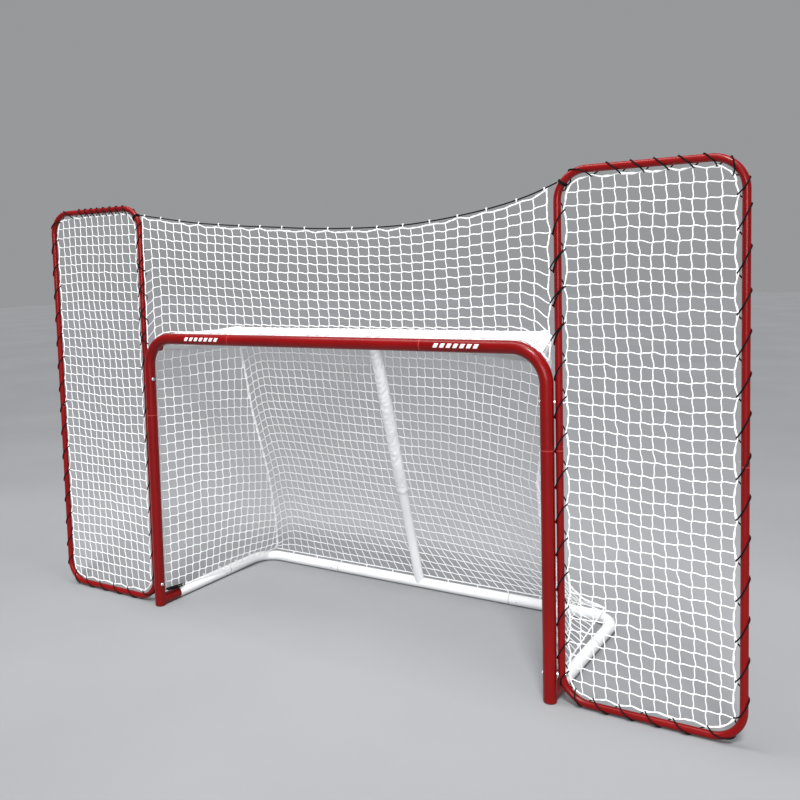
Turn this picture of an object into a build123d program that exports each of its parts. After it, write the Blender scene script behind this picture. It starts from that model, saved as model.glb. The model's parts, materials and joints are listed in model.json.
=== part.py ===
"""Hockey goal with a base frame, two side panels and a backstop net above the crossbar.

Millimetres. X runs along the mouth to the right as a shooter sees it, Y runs back into the
goal and Z is up. The mouth lies in the plane Y = 0 while the parts are made; save() then moves
them so that the origin is on the floor in the middle of the footprint.
"""

from build123d import *
import math
import os

# Goal mouth and main tubes
MOUTH_WIDTH = 1828.8
MOUTH_HEIGHT = 1219.2
FRAME_OD = 48.0
FRAME_WALL = 1.6
FRAME_BEND = 127.0  # centre-line radius of the upper corners
POST_SEAM_Z = 892.0
CROSSBAR_SEAM_X = 459.0
FRAME_PLUG = 80.0
PLUG_CLEARANCE = 0.15  # radial gap between a plug end and the tube it enters
SEAM_GAP = 0.3
FOOT_CAP_HEIGHT = 9.0

# Base
BASE_DEPTH = 792.0  # from the post axis to the axis of the rear tube
BASE_BEND = 110.0
STUB_LENGTH = 117.0
RAIL_SEAM_Y = 481.0
REAR_SEAM_X = 459.0
SPIGOT_LENGTH = 85.0

# Top shelf and centre post
SHELF_OD = 44.5
SHELF_DEPTH = 415.0
SHELF_Z = 1236.0
SHELF_HALF_WIDTH = 790.0
SHELF_BEND = 80.0
SOCKET_LENGTH = 62.0
SOCKET_PLUG = 29.0
TEE_HALF_LENGTH = 60.0
TEE_BRANCH = 75.0
TEE_PLUG = 50.0
SLEEVE_INNER_R = 24.4
SLEEVE_OUTER_R = 28.5
SLEEVE_START = 67.0
SLEEVE_MIDDLE_X = 26.0
POST_SLEEVE_SPAN = (31.0, 768.0)

# Side panels
PANEL_OD = 25.4
PANEL_WALL = 1.2
PANEL_WIDTH = 585.0  # between the axes of its two upright tubes
PANEL_HEIGHT = 1818.0  # between the axes of its bottom and top tubes
PANEL_FOOT_Z = 17.7  # axis of its bottom tube, which stands on the turns of the lacing
PANEL_BEND = 100.0
PANEL_PLUG = 80.0
PANEL_SEAM_Z = 888.0
PANEL_GAP = 4.2  # clear space between a post and the panel tube beside it
PANEL_BACK = 12.0  # how far the panel's plane lies behind the posts' plane

# Bolts that hold the panels to the posts
BOLT_HEIGHTS = (104.0, 1058.0)
BOLT_R = 3.9
BOLT_HOLE_R = 4.2
BOLT_HEAD_R = 8.0
BOLT_HEAD_HEIGHT = 4.4
NUT_ACROSS_FLATS = 13.0
NUT_THICK = 6.5
WASHER_R = 8.5
WASHER_THICK = 4.0
SEAT_PLAY = 0.02  # between a bolt's head or nut and the tube it bears on

# Screws that fasten the shelf
SCREW_R = 1.9
SCREW_HOLE_R = 2.2
SCREW_HEAD_R = 4.2
SCREW_HEAD_HEIGHT = 1.9
SCREW_LENGTH = 6.0
SCREW_SET_BACK = 25.0  # from the end of a branch of the tee to its screw
SOCKET_SCREW_AT = 46.0  # along a shelf's arm from its root

# Spring buttons
BUTTON_STAND = 3.0  # how far a button stands out of its tube
BUTTON_SET_BACK = 40.0  # from a seam of the frame or base to its button
PANEL_BUTTON_Z = 906.0
FRAME_BUTTON = {"od": FRAME_OD, "wall": FRAME_WALL, "radius": 3.7, "flange": 5.5}
PANEL_BUTTON = {"od": PANEL_OD, "wall": PANEL_WALL, "radius": 2.75, "flange": 4.3}
BUTTON_PLAY = 0.25
FLANGE_THICK = 1.0
CLIP_THICK = 0.8
CLIP_WIDTH = 6.0

# Nets and cords
NET_THICK = 1.5
NET_GAP = 22.0  # from a panel tube's axis to the nets beside it
NET_FRONT_Y = 35.0
NET_FOOT_Z = 62.0
NET_TOP = (452.0, 1225.0)  # Y and Z of the back net's upper edge
NET_BOTTOM = (813.0, 62.0)  # Y and Z of the back net's lower edge
SEAM_ROOM = 6.0  # between the back net and each side net at their seam
BACKSTOP_Y = 8.0
BACKSTOP_FOOT_Z = 1270.0
LEFT_SEAM = [(62, 880), (280, 832), (550, 806), (900, 812), (1174, 792)]  # Z and distance from the middle
RIGHT_SEAM = [(62, 882), (240, 712), (500, 650), (680, 652), (1174, 784)]
LACE_D = 3.4
LACE_APOTHEM = 14.7
LACE_EASE = 1.09  # how much wider the turns stand on a panel's bends
OUTER_LACE_APOTHEM = 18.6  # of the backstop's lacing, which lies over a panel's own
OUTER_LACE_SPAN = (1296.0, 1734.0)
OUTER_LACE_QUARTERS = 14
ROPE_D = 5.0
TIE_ARC = 36.4  # degrees up a panel's inner top corner where the rope is tied
TIE_CLEARANCE = 38.0  # along the panel's tube, from the rope's ties to the ends of the lacing
TIE_SPACING = 5.2  # between the two turns of a tie
TOP_NET_FRONT_X = 848.0
TOP_NET_REAR = (753.0, 380.0)  # half width and Y of the top net's rear edge
# Distance inside the post's axis and Y of the rear end
FOOT_LOOPS = ((14.0, 150.0), (18.5, 128.0), (23.0, 106.0))
FOOT_LOOP_FRONT_Y = 27.0
FOOT_LOOP_WIDTH = 8.0
FOOT_LOOP_RISE = (22.0, 9.0)  # of its front and rear ends above the stub
SOCKET_TURNS = (53.0, 57.5)  # along a shelf's arm from its root
PEG_R = 2.5
PEG_HEAD_R = 4.5
PEG_HEAD_THICK = 2.0
PEG_LENGTH = 9.5
PEG_PITCH = 150.0  # along the crossbar and the base's rear tube
PEG_HEIGHTS = (150, 300, 450, 600, 750, 880, 1000, 1110)  # on the posts
PEG_DEPTHS = (180, 300, 420, 540, 660)  # on the base's side tubes

# Values that follow from the ones above
FRAME_R = FRAME_OD / 2
PANEL_R = PANEL_OD / 2
SHELF_R = SHELF_OD / 2
POST_X = MOUTH_WIDTH / 2 + FRAME_R
CROSSBAR_Z = MOUTH_HEIGHT + FRAME_R
BASE_Z = FRAME_R
PANEL_OFFSET = FRAME_R + PANEL_GAP + PANEL_R
PANEL_TURN = math.degrees(math.asin(PANEL_BACK / PANEL_OFFSET))
PANEL_X = POST_X + PANEL_OFFSET * math.cos(math.radians(PANEL_TURN))
PANEL_TOP_Z = PANEL_FOOT_Z + PANEL_HEIGHT
FOOTPRINT_MIDDLE_Y = BASE_DEPTH / 2
LEFT, RIGHT = -1, 1
SIDE_NAMES = {LEFT: "left", RIGHT: "right"}
# Along a panel's top, right, bottom and left tubes
LACE_PITCHES = {LEFT: (42.0, 112.0, 96.0, 113.0), RIGHT: (77.0, 126.0, 90.0, 122.0)}

os.makedirs("parts", exist_ok=True)


def save(name, *solids):
    """Write one node, with the origin moved to the middle of the footprint."""
    move = Location((0, -FOOTPRINT_MIDDLE_Y, 0))
    placed = [solid.moved(move) for solid in solids]
    shape = placed[0] if len(placed) == 1 else Compound(placed)
    export_step(shape, f"parts/{name}.step")


def rod(start, end, radius):
    """A round bar from one point to another."""
    start, end = Vector(*start), Vector(*end)
    return Solid.make_cylinder(radius, (end - start).length, Plane(origin=start, z_dir=end - start))


def pipe(start, end, od, wall):
    """A straight tube from one point to another."""
    return rod(start, end, od / 2) - rod(start, end, od / 2 - wall)


def swept(path, section):
    """A flat section carried along a path."""
    return sweep(Plane(path @ 0, z_dir=path % 0) * section, path=path).solid()


def bent_tube(points, bend, od, wall):
    """A tube with bends of one radius at its corners."""
    path = FilletPolyline(*points, radius=bend)
    return swept(path, Circle(od / 2) - Circle(od / 2 - wall))


def plug(at, direction, od, wall, length):
    """The swaged end of a tube, rooted in the tube's wall at a point and standing out of it."""
    root, outer = od / 2 - wall / 2, od / 2 - wall - PLUG_CLEARANCE
    bore, depth = outer - wall, 12
    profile = [(root, -depth), (root, 0), (outer, 0), (outer, length), (bore, length), (bore, -depth)]
    ring = revolve(Plane.XZ * make_face(Polyline(*profile, close=True)), Axis.Z)
    return Plane(origin=at, z_dir=direction).location * ring.solid()


def along(start, end, distance):
    """The point at a distance from start towards end."""
    start, end = Vector(*start), Vector(*end)
    return start + (end - start).normalized() * distance


def ring(at, direction, radius, cord):
    """One closed turn of a cord about a tube."""
    return Solid.make_torus(radius, cord / 2, Plane(origin=at, z_dir=direction))


# Where things are
BASE_CORNER = {side: (side * POST_X, BASE_DEPTH, BASE_Z) for side in SIDE_NAMES}
TEE = (0, SHELF_DEPTH, SHELF_Z)
POST_FOOT = (0, BASE_DEPTH, BASE_Z)
ELBOW_INSET = FRAME_BEND * (1 - math.cos(math.radians(45)))
ELBOW = {side: (side * (POST_X - ELBOW_INSET), 0, CROSSBAR_Z - ELBOW_INSET) for side in SIDE_NAMES}
SHELF_CORNER = {side: (side * SHELF_HALF_WIDTH, SHELF_DEPTH, SHELF_Z) for side in SIDE_NAMES}
OUTWARDS = {
    side: Vector(side * math.cos(math.radians(PANEL_TURN)), math.sin(math.radians(PANEL_TURN)), 0)
    for side in SIDE_NAMES
}


def button_planes():
    """Each button's place: origin on the tube's axis, X along the tube and Z out through the button."""
    planes = {}
    for side, name in SIDE_NAMES.items():
        inner_x, outer_x = side * PANEL_X, side * (PANEL_X + PANEL_WIDTH)
        crossbar_x, rear_x = (side * (x + BUTTON_SET_BACK) for x in (CROSSBAR_SEAM_X, REAR_SEAM_X))
        rail_y = RAIL_SEAM_Y - BUTTON_SET_BACK
        spots = {
            "post": ((side * POST_X, 0, POST_SEAM_Z + BUTTON_SET_BACK), (0, 0, 1), (0, 1, 0)),
            "crossbar": ((crossbar_x, 0, CROSSBAR_Z), (side, 0, 0), (0, 1, 0)),
            "rail": ((side * POST_X, rail_y, BASE_Z), (0, -1, 0), (-side, 0, 0)),
            "rear": ((rear_x, BASE_DEPTH, BASE_Z), (side, 0, 0), (0, -1, 0)),
            "panel_inner": ((inner_x, PANEL_BACK, PANEL_BUTTON_Z), (0, 0, 1), (side, 0, 0)),
            "panel_outer": ((outer_x, PANEL_BACK, PANEL_BUTTON_Z), (0, 0, 1), (-side, 0, 0)),
        }
        for spot, (origin, tube, out) in spots.items():
            planes[f"{name}_{spot}"] = Plane(origin=origin, x_dir=tube, z_dir=out)
    return planes


BUTTONS = button_planes()


def button_size(spot):
    return PANEL_BUTTON if "panel" in spot else FRAME_BUTTON


def drilled(tube, *spots):
    """A tube with the holes of the named buttons."""
    for spot in spots:
        size = button_size(spot)
        tube -= BUTTONS[spot].location * Solid.make_cylinder(size["radius"] + BUTTON_PLAY, size["od"])
    return tube.solid()


def flange_top(size):
    """Height above the tube's axis of the flange that stops a button inside the plug's bore."""
    bore = size["od"] / 2 - 2 * size["wall"] - PLUG_CLEARANCE
    return math.sqrt(bore**2 - size["flange"] ** 2) - 0.3


def button_travel(size):
    """How far a button goes in to clear the outer tube."""
    return BUTTON_STAND + size["wall"] + 0.1


def make_button(spot):
    size = button_size(spot)
    top, tip = flange_top(size), size["od"] / 2 + BUTTON_STAND
    body = Pos(0, 0, top - FLANGE_THICK) * Solid.make_cylinder(size["radius"], tip - top + FLANGE_THICK)
    body = fillet(body.edges().sort_by(Axis.Z)[-1], size["radius"] * 0.7)
    flange = Pos(0, 0, top - FLANGE_THICK) * Solid.make_cylinder(size["flange"], FLANGE_THICK)
    return BUTTONS[spot].location * (body + flange).solid()


def make_clip(spot):
    """The V-shaped spring strip behind a button, resting on the far wall of the plug's bore."""
    size = button_size(spot)
    bore = size["od"] / 2 - 2 * size["wall"] - PLUG_CLEARANCE
    low = -math.sqrt(bore**2 - (CLIP_WIDTH / 2) ** 2) + CLIP_THICK / 2 + 0.1
    high = flange_top(size) - FLANGE_THICK - button_travel(size) - CLIP_THICK
    middle = (low + high) / 2
    path = Polyline((-8, low), (22, low), (26, middle), (22, middle + 3), (-3, high))
    strip = trace(path, line_width=CLIP_THICK)
    clip = extrude(Plane.XZ * strip, amount=CLIP_WIDTH / 2, both=True)
    return BUTTONS[spot].location * clip.solid()


# Front frame
def make_post(side):
    name = SIDE_NAMES[side]
    bottom, top = (side * POST_X, 0, FOOT_CAP_HEIGHT), (side * POST_X, 0, POST_SEAM_Z)
    stub_start, stub_end = (side * POST_X, 0, BASE_Z), (side * POST_X, STUB_LENGTH, BASE_Z)
    stub = pipe(stub_start, stub_end, FRAME_OD, FRAME_WALL)
    stub -= rod((side * POST_X, 0, 0), top, FRAME_R - FRAME_WALL / 2)
    cap_room = FOOT_CAP_HEIGHT + SEAM_GAP
    stub -= rod((side * POST_X, 0, 0), (side * POST_X, 0, cap_room), FRAME_R + SEAM_GAP)
    post = pipe(bottom, top, FRAME_OD, FRAME_WALL) + stub
    post += plug(top, (0, 0, 1), FRAME_OD, FRAME_WALL, FRAME_PLUG)
    for height in BOLT_HEIGHTS:
        if height < POST_SEAM_Z:
            post -= bolt_bore(side, height)
    return drilled(post, f"{name}_post")


def make_corner_tube(side):
    name = SIDE_NAMES[side]
    start = (side * (CROSSBAR_SEAM_X + SEAM_GAP), 0, CROSSBAR_Z)
    corner = (side * POST_X, 0, CROSSBAR_Z)
    end = (side * POST_X, 0, POST_SEAM_Z + SEAM_GAP)
    path = FilletPolyline(start, corner, end, radius=FRAME_BEND)
    mouth = along(ELBOW[side], SHELF_CORNER[side], SOCKET_LENGTH)
    socket = pipe(ELBOW[side], mouth, SHELF_OD, FRAME_WALL) - swept(path, Circle(FRAME_R - FRAME_WALL / 2))
    far_part = max(socket.solids(), key=lambda solid: solid.center().Y)
    tube = swept(path, Circle(FRAME_R) - Circle(FRAME_R - FRAME_WALL)) + far_part
    for height in BOLT_HEIGHTS:
        if height > POST_SEAM_Z:
            tube -= bolt_bore(side, height)
    tube -= screw_bore(SCREWS[f"{name}_socket"])
    return drilled(tube, f"{name}_post", f"{name}_crossbar")


def make_crossbar():
    left, right = (-CROSSBAR_SEAM_X, 0, CROSSBAR_Z), (CROSSBAR_SEAM_X, 0, CROSSBAR_Z)
    tube = pipe(left, right, FRAME_OD, FRAME_WALL)
    tube += plug(left, (-1, 0, 0), FRAME_OD, FRAME_WALL, FRAME_PLUG)
    tube += plug(right, (1, 0, 0), FRAME_OD, FRAME_WALL, FRAME_PLUG)
    return drilled(tube, "left_crossbar", "right_crossbar")


def make_foot_cap(side):
    """A plastic plug that closes the foot of a post and stands on the floor."""
    radius, height = FRAME_R - 0.4, FOOT_CAP_HEIGHT - SEAM_GAP
    cap = Solid.make_cylinder(radius, height)
    cap = fillet(cap.edges().sort_by(Axis.Z)[0], 5)
    stem = Pos(0, 0, height) * Solid.make_cylinder(FRAME_R - FRAME_WALL - 0.2, 14)
    return Pos(side * POST_X, 0, 0) * (cap + stem).solid()


# Base
def make_base_rail(side):
    name = SIDE_NAMES[side]
    front = (side * POST_X, STUB_LENGTH + SEAM_GAP, BASE_Z)
    rear = (side * POST_X, RAIL_SEAM_Y, BASE_Z)
    tube = pipe(front, rear, FRAME_OD, FRAME_WALL)
    tube += plug(front, (0, -1, 0), FRAME_OD, FRAME_WALL, FRAME_PLUG)
    return drilled(tube, f"{name}_rail")


def make_base_corner(side):
    name = SIDE_NAMES[side]
    front = (side * POST_X, RAIL_SEAM_Y + SEAM_GAP, BASE_Z)
    rear = (side * (REAR_SEAM_X + SEAM_GAP), BASE_DEPTH, BASE_Z)
    tube = bent_tube([front, BASE_CORNER[side], rear], BASE_BEND, FRAME_OD, FRAME_WALL)
    tube += plug(front, (0, -1, 0), FRAME_OD, FRAME_WALL, FRAME_PLUG)
    return drilled(tube, f"{name}_rail", f"{name}_rear")


def make_rear_tube():
    """The middle tube of the base's rear side, with a spigot that the centre post slides over."""
    left, right = (-REAR_SEAM_X, BASE_DEPTH, BASE_Z), (REAR_SEAM_X, BASE_DEPTH, BASE_Z)
    tube = pipe(left, right, FRAME_OD, FRAME_WALL)
    tube += plug(left, (-1, 0, 0), FRAME_OD, FRAME_WALL, FRAME_PLUG)
    tube += plug(right, (1, 0, 0), FRAME_OD, FRAME_WALL, FRAME_PLUG)
    spigot_od = SHELF_OD - 2 * FRAME_WALL - 2 * PLUG_CLEARANCE
    spigot = pipe(POST_FOOT, along(POST_FOOT, TEE, SPIGOT_LENGTH), spigot_od, FRAME_WALL)
    spigot -= rod(left, right, FRAME_R - FRAME_WALL / 2)
    tube += max(spigot.solids(), key=lambda solid: solid.center().Z)
    return drilled(tube, "left_rear", "right_rear")


# Top shelf and centre post
def shelf_arm(side):
    """Direction of a shelf's arm, from the elbow to the shelf's rear corner."""
    return (Vector(*SHELF_CORNER[side]) - Vector(*ELBOW[side])).normalized()


def screw_planes():
    """The places of the screws that fasten the shelf: origin on the tube's surface and Z out of it."""
    planes = {}
    post_line = (Vector(*POST_FOOT) - Vector(*TEE)).normalized()
    straight_down = Vector(0, 0, -1)
    for side, name in SIDE_NAMES.items():
        arm = shelf_arm(side)
        down = (straight_down - arm * straight_down.dot(arm)).normalized()
        axis_point = along(ELBOW[side], SHELF_CORNER[side], SOCKET_SCREW_AT)
        planes[f"{name}_socket"] = Plane(axis_point + down * SHELF_R, z_dir=down)
        tee_end = Vector(side * (TEE_HALF_LENGTH + SCREW_SET_BACK), SHELF_DEPTH, SHELF_Z - SHELF_R)
        planes[f"{name}_tee"] = Plane(tee_end, z_dir=straight_down)
    rearwards = post_line.cross(Vector(1, 0, 0)).normalized()
    rearwards = rearwards if rearwards.Y > 0 else -rearwards
    axis_point = along(TEE, POST_FOOT, TEE_BRANCH + SCREW_SET_BACK)
    planes["post"] = Plane(axis_point + rearwards * SHELF_R, z_dir=rearwards)
    return planes


SCREWS = screw_planes()


def screw_bore(plane):
    return plane.location * Pos(0, 0, -SHELF_R) * Solid.make_cylinder(SCREW_HOLE_R, SHELF_OD)


def make_screw(plane):
    """A low pan-head screw through an outer tube and the plug inside it."""
    head = Solid.make_cylinder(SCREW_HEAD_R, SCREW_HEAD_HEIGHT)
    head = fillet(head.edges().sort_by(Axis.Z)[-1], SCREW_HEAD_HEIGHT / 2)
    shank = Pos(0, 0, -SCREW_LENGTH) * Solid.make_cylinder(SCREW_R, SCREW_LENGTH)
    return plane.location * (head + shank).solid()


def make_shelf_tube(side):
    name = SIDE_NAMES[side]
    start = along(ELBOW[side], SHELF_CORNER[side], SOCKET_LENGTH + SEAM_GAP)
    middle = (side * (TEE_HALF_LENGTH + SEAM_GAP), SHELF_DEPTH, SHELF_Z)
    tube = bent_tube([start, SHELF_CORNER[side], middle], SHELF_BEND, SHELF_OD, FRAME_WALL)
    tube += plug(start, -shelf_arm(side), SHELF_OD, FRAME_WALL, SOCKET_PLUG)
    return (tube - screw_bore(SCREWS[f"{name}_socket"]) - screw_bore(SCREWS[f"{name}_tee"])).solid()


def make_tee():
    left, right = (-TEE_HALF_LENGTH, SHELF_DEPTH, SHELF_Z), (TEE_HALF_LENGTH, SHELF_DEPTH, SHELF_Z)
    branch_end = along(TEE, POST_FOOT, TEE_BRANCH)
    bore = SHELF_R - FRAME_WALL
    tee = rod(left, right, SHELF_R) + rod(TEE, branch_end, SHELF_R)
    tee = tee - rod(left, right, bore) - rod(TEE, branch_end, bore)
    tee += plug(left, (-1, 0, 0), SHELF_OD, FRAME_WALL, TEE_PLUG)
    tee += plug(right, (1, 0, 0), SHELF_OD, FRAME_WALL, TEE_PLUG)
    tee += plug(branch_end, Vector(*POST_FOOT) - Vector(*TEE), SHELF_OD, FRAME_WALL, TEE_PLUG)
    for spot in ("left_tee", "right_tee", "post"):
        tee -= screw_bore(SCREWS[spot])
    return tee.solid()


def make_centre_post():
    """The leaning post, its foot cut to sit over the base's rear tube."""
    post = pipe(along(TEE, POST_FOOT, TEE_BRANCH + SEAM_GAP), POST_FOOT, SHELF_OD, FRAME_WALL)
    post -= rod((-FRAME_OD, BASE_DEPTH, BASE_Z), (FRAME_OD, BASE_DEPTH, BASE_Z), FRAME_R + 0.1)
    post -= screw_bore(SCREWS["post"])
    return max(post.solids(), key=lambda solid: solid.volume)


def make_shelf_sleeve(side):
    start = along(ELBOW[side], SHELF_CORNER[side], SLEEVE_START)
    middle = (side * SLEEVE_MIDDLE_X, SHELF_DEPTH, SHELF_Z)
    path = FilletPolyline(start, SHELF_CORNER[side], middle, radius=SHELF_BEND)
    return swept(path, Circle(SLEEVE_OUTER_R) - Circle(SLEEVE_INNER_R))


def make_post_sleeve():
    start, end = (along(TEE, POST_FOOT, distance) for distance in POST_SLEEVE_SPAN)
    return pipe(start, end, 2 * SLEEVE_OUTER_R, SLEEVE_OUTER_R - SLEEVE_INNER_R)


# Side panels
def panel_tube(side, end_z):
    """The bent half of a panel's tube, from the seam round the bottom or the top and back."""
    inner_x, outer_x = side * PANEL_X, side * (PANEL_X + PANEL_WIDTH)
    seam_z = PANEL_SEAM_Z if end_z < PANEL_SEAM_Z else PANEL_SEAM_Z + SEAM_GAP
    corners = [(inner_x, seam_z), (inner_x, end_z), (outer_x, end_z), (outer_x, seam_z)]
    points = [(x, PANEL_BACK, z) for x, z in corners]
    tube = bent_tube(points, PANEL_BEND, PANEL_OD, PANEL_WALL)
    for height in BOLT_HEIGHTS:
        if (height < PANEL_SEAM_Z) == (end_z < PANEL_SEAM_Z):
            tube -= bolt_bore(side, height)
    return tube


def make_panel_lower(side):
    name = SIDE_NAMES[side]
    tube = panel_tube(side, PANEL_FOOT_Z)
    for x in (side * PANEL_X, side * (PANEL_X + PANEL_WIDTH)):
        tube += plug((x, PANEL_BACK, PANEL_SEAM_Z), (0, 0, 1), PANEL_OD, PANEL_WALL, PANEL_PLUG)
    return drilled(tube, f"{name}_panel_inner", f"{name}_panel_outer")


def make_panel_upper(side):
    name = SIDE_NAMES[side]
    return drilled(panel_tube(side, PANEL_TOP_Z), f"{name}_panel_inner", f"{name}_panel_outer")


# Bolts through a post and the panel tube beside it, each along the line between the two axes
def bolt_plane(side, height):
    return Plane(origin=(side * POST_X, 0, height), x_dir=(0, 0, 1), z_dir=OUTWARDS[side])


def bolt_bore(side, height):
    bore = Pos(0, 0, -FRAME_OD) * Solid.make_cylinder(BOLT_HOLE_R, 3 * FRAME_OD)
    return bolt_plane(side, height).location * bore


def bend_shift(height, radius):
    """How far the bottom bend takes a face of a panel's tube, of its own radius, from the post."""
    drop = max(0, PANEL_FOOT_Z + PANEL_BEND - height)
    return radius - math.sqrt(radius**2 - drop**2)


def nut_seat(height):
    """Distance from a post's axis to the nut, which rests on the tube's far face."""
    lowest = height - NUT_ACROSS_FLATS / math.sqrt(3)
    return PANEL_OFFSET + PANEL_R + bend_shift(lowest, PANEL_BEND - PANEL_R) + SEAT_PLAY


def make_bolt(side, height):
    head = Solid.make_cylinder(BOLT_HEAD_R, BOLT_HEAD_HEIGHT)
    head = fillet(head.edges().sort_by(Axis.Z)[-1], BOLT_HEAD_HEIGHT * 0.9)
    head = Pos(0, 0, -FRAME_R - SEAT_PLAY) * Rot(180, 0, 0) * head
    shank_length = FRAME_R + 1 + nut_seat(height) + NUT_THICK + 2
    shank = Pos(0, 0, -FRAME_R - 1) * Solid.make_cylinder(BOLT_R, shank_length)
    return bolt_plane(side, height).location * (head + shank).solid()


def make_nut(side, height):
    blank = extrude(RegularPolygon(NUT_ACROSS_FLATS / 2, 6, major_radius=False), NUT_THICK)
    nut = blank - Solid.make_cylinder(BOLT_R + 0.05, NUT_THICK)
    return bolt_plane(side, height).location * Pos(0, 0, nut_seat(height)) * nut.solid()


def make_washer(side, height):
    thick = WASHER_THICK + bend_shift(height + WASHER_R, PANEL_BEND + PANEL_R)
    washer = Solid.make_cylinder(WASHER_R, thick) - Solid.make_cylinder(BOLT_HOLE_R, thick)
    seat = FRAME_R + (PANEL_GAP - WASHER_THICK) / 2
    return bolt_plane(side, height).location * Pos(0, 0, seat) * washer.solid()


# Nets: each is one thin sheet that stands for its mesh
def sheet(outline, plane):
    """A flat net with an outline in a plane."""
    return extrude(plane * make_face(Polyline(*outline, close=True)), NET_THICK / 2, both=True).solid()


def back_net_y(z):
    """Where the back net's plane is at a height."""
    (top_y, top_z), (foot_y, foot_z) = NET_TOP, NET_BOTTOM
    return top_y + (top_z - z) * (foot_y - top_y) / (top_z - foot_z)


def make_back_net():
    foot = Vector(0, *NET_BOTTOM)
    up = Vector(0, *NET_TOP) - foot
    plane = Plane(origin=foot, x_dir=(1, 0, 0), z_dir=Vector(1, 0, 0).cross(up))
    stretch = up.length / (NET_TOP[1] - NET_BOTTOM[1])
    left = [(SEAM_ROOM - x, (z - NET_FOOT_Z) * stretch) for z, x in LEFT_SEAM]
    right = [(x - SEAM_ROOM, (z - NET_FOOT_Z) * stretch) for z, x in RIGHT_SEAM]
    top = [(SHELF_HALF_WIDTH - 10, up.length), (10 - SHELF_HALF_WIDTH, up.length)]
    return sheet(right + top + left[::-1], plane)


def make_side_net(side, seam):
    """The net from a post back to the seam, pulled in where its lower part is slack."""
    strips = []
    for z, x in seam:
        top = z > POST_SEAM_Z and z == seam[-1][0]
        front = Vector(side * (POST_X - (22 if top else 0)), NET_FRONT_Y, z)
        rear = Vector(side * x, back_net_y(z) - 10, z + (28 if top else 0))
        across = Vector(0, 0, 1).cross(rear - front).normalized() * (NET_THICK / 2)
        corners = [front - across, rear - across, rear + across, front + across]
        strips.append(Face(Wire.make_polygon(corners, close=True)))
    return loft(strips, ruled=True).solid()


def make_top_net():
    rear_x, rear_y = TOP_NET_REAR
    slope = Vector(0, rear_y - NET_FRONT_Y, SHELF_Z - CROSSBAR_Z)
    plane = Plane(origin=(0, NET_FRONT_Y, CROSSBAR_Z), x_dir=(1, 0, 0), z_dir=Vector(1, 0, 0).cross(slope))
    front = [(-TOP_NET_FRONT_X, 0), (TOP_NET_FRONT_X, 0)]
    outline = front + [(rear_x, slope.length), (-rear_x, slope.length)]
    return sheet(outline, plane)


def upright_plane(y):
    """A plane across the goal whose X and Y are the goal's X and Z."""
    return Plane(origin=(0, y, 0), x_dir=(1, 0, 0), z_dir=(0, -1, 0))


def make_panel_net(side):
    width, height = PANEL_WIDTH - 2 * NET_GAP, PANEL_HEIGHT - 2 * NET_GAP
    middle = (side * (PANEL_X + PANEL_WIDTH / 2), PANEL_FOOT_Z + PANEL_HEIGHT / 2)
    outline = Pos(*middle) * RectangleRounded(width, height, PANEL_BEND - NET_GAP)
    return extrude(upright_plane(PANEL_BACK) * outline, NET_THICK / 2, both=True).solid()


# The rope along the top of the backstop net: X and Z, from tie to tie
ROPE_ROUTE = [
    (-979, 1801), (-925, 1793), (-868, 1784), (-799, 1773), (-731, 1762), (-665, 1752), (-594, 1743),
    (-522, 1736), (-453, 1729), (-380, 1722), (-309, 1716), (-236, 1711), (-165, 1705), (-92, 1699),
    (-20, 1694), (53, 1690), (125, 1687), (199, 1685), (271, 1684), (344, 1684.5), (415, 1687),
    (485, 1693), (552, 1699.5), (620, 1708), (689, 1718.5), (755, 1730), (822, 1745), (880, 1761),
    (933, 1779), (979, 1797.5),
]


def make_backstop_net():
    edge = PANEL_X - NET_GAP
    top = [(x, z - ROPE_D / 2 - 1.2) for x, z in ROPE_ROUTE if abs(x) < edge - 10]
    left_top, right_top = (-edge, top[0][1] + 5), (edge, top[-1][1] + 8)
    outline = [(-edge, BACKSTOP_FOOT_Z), (edge, BACKSTOP_FOOT_Z), right_top] + top[::-1] + [left_top]
    return sheet(outline, upright_plane(BACKSTOP_Y))


def rounded_cord(points, diameter, share=0.45):
    """A cord along straight runs joined by arcs as large as the runs allow."""
    radii = []
    for before, at, after in zip(points, points[1:], points[2:]):
        turn = math.radians((at - before).get_angle(after - at))
        radii.append(share * min((at - before).length, (after - at).length) / math.tan(turn / 2))
    path = FilletPolyline(*points, radius=radii)
    return swept(path, Circle(diameter / 2))


def make_rope():
    return rounded_cord([Vector(x, BACKSTOP_Y, z) for x, z in ROPE_ROUTE], ROPE_D)


# Lacing: a cord wound along the whole loop of a panel's tube
LOOP_RUNS = [PANEL_WIDTH - 2 * PANEL_BEND, PANEL_HEIGHT - 2 * PANEL_BEND] * 2
LOOP_BEND = PANEL_BEND * math.pi / 2
LOOP_ENDS = [sum(LOOP_RUNS[:count]) + count * LOOP_BEND for count in (1, 2, 3, 4)]
LOOP_LENGTH = LOOP_ENDS[-1]
TIE_DISTANCE = {
    LEFT: LOOP_RUNS[0] + PANEL_BEND * math.radians(90 - TIE_ARC),
    RIGHT: LOOP_LENGTH - PANEL_BEND * math.radians(90 - TIE_ARC),
}


def loop_point(distance):
    """Place on a panel's loop and direction out of it, clockwise from the left end of its top."""
    distance %= LOOP_LENGTH
    place = Vector(-LOOP_RUNS[0] / 2, PANEL_HEIGHT / 2)
    heading, out = Vector(1, 0), Vector(0, 1)
    for run in LOOP_RUNS:
        if distance <= run:
            return place + heading * distance, out
        distance -= run
        place += heading * run
        if distance <= LOOP_BEND:
            angle = distance / PANEL_BEND
            centre = place - out * PANEL_BEND
            turned = out * math.cos(angle) + heading * math.sin(angle)
            return centre + turned * PANEL_BEND, turned
        distance -= LOOP_BEND
        place += (heading - out) * PANEL_BEND
        heading, out = -out, heading
    raise ValueError("the distance is past the loop's end")


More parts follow.
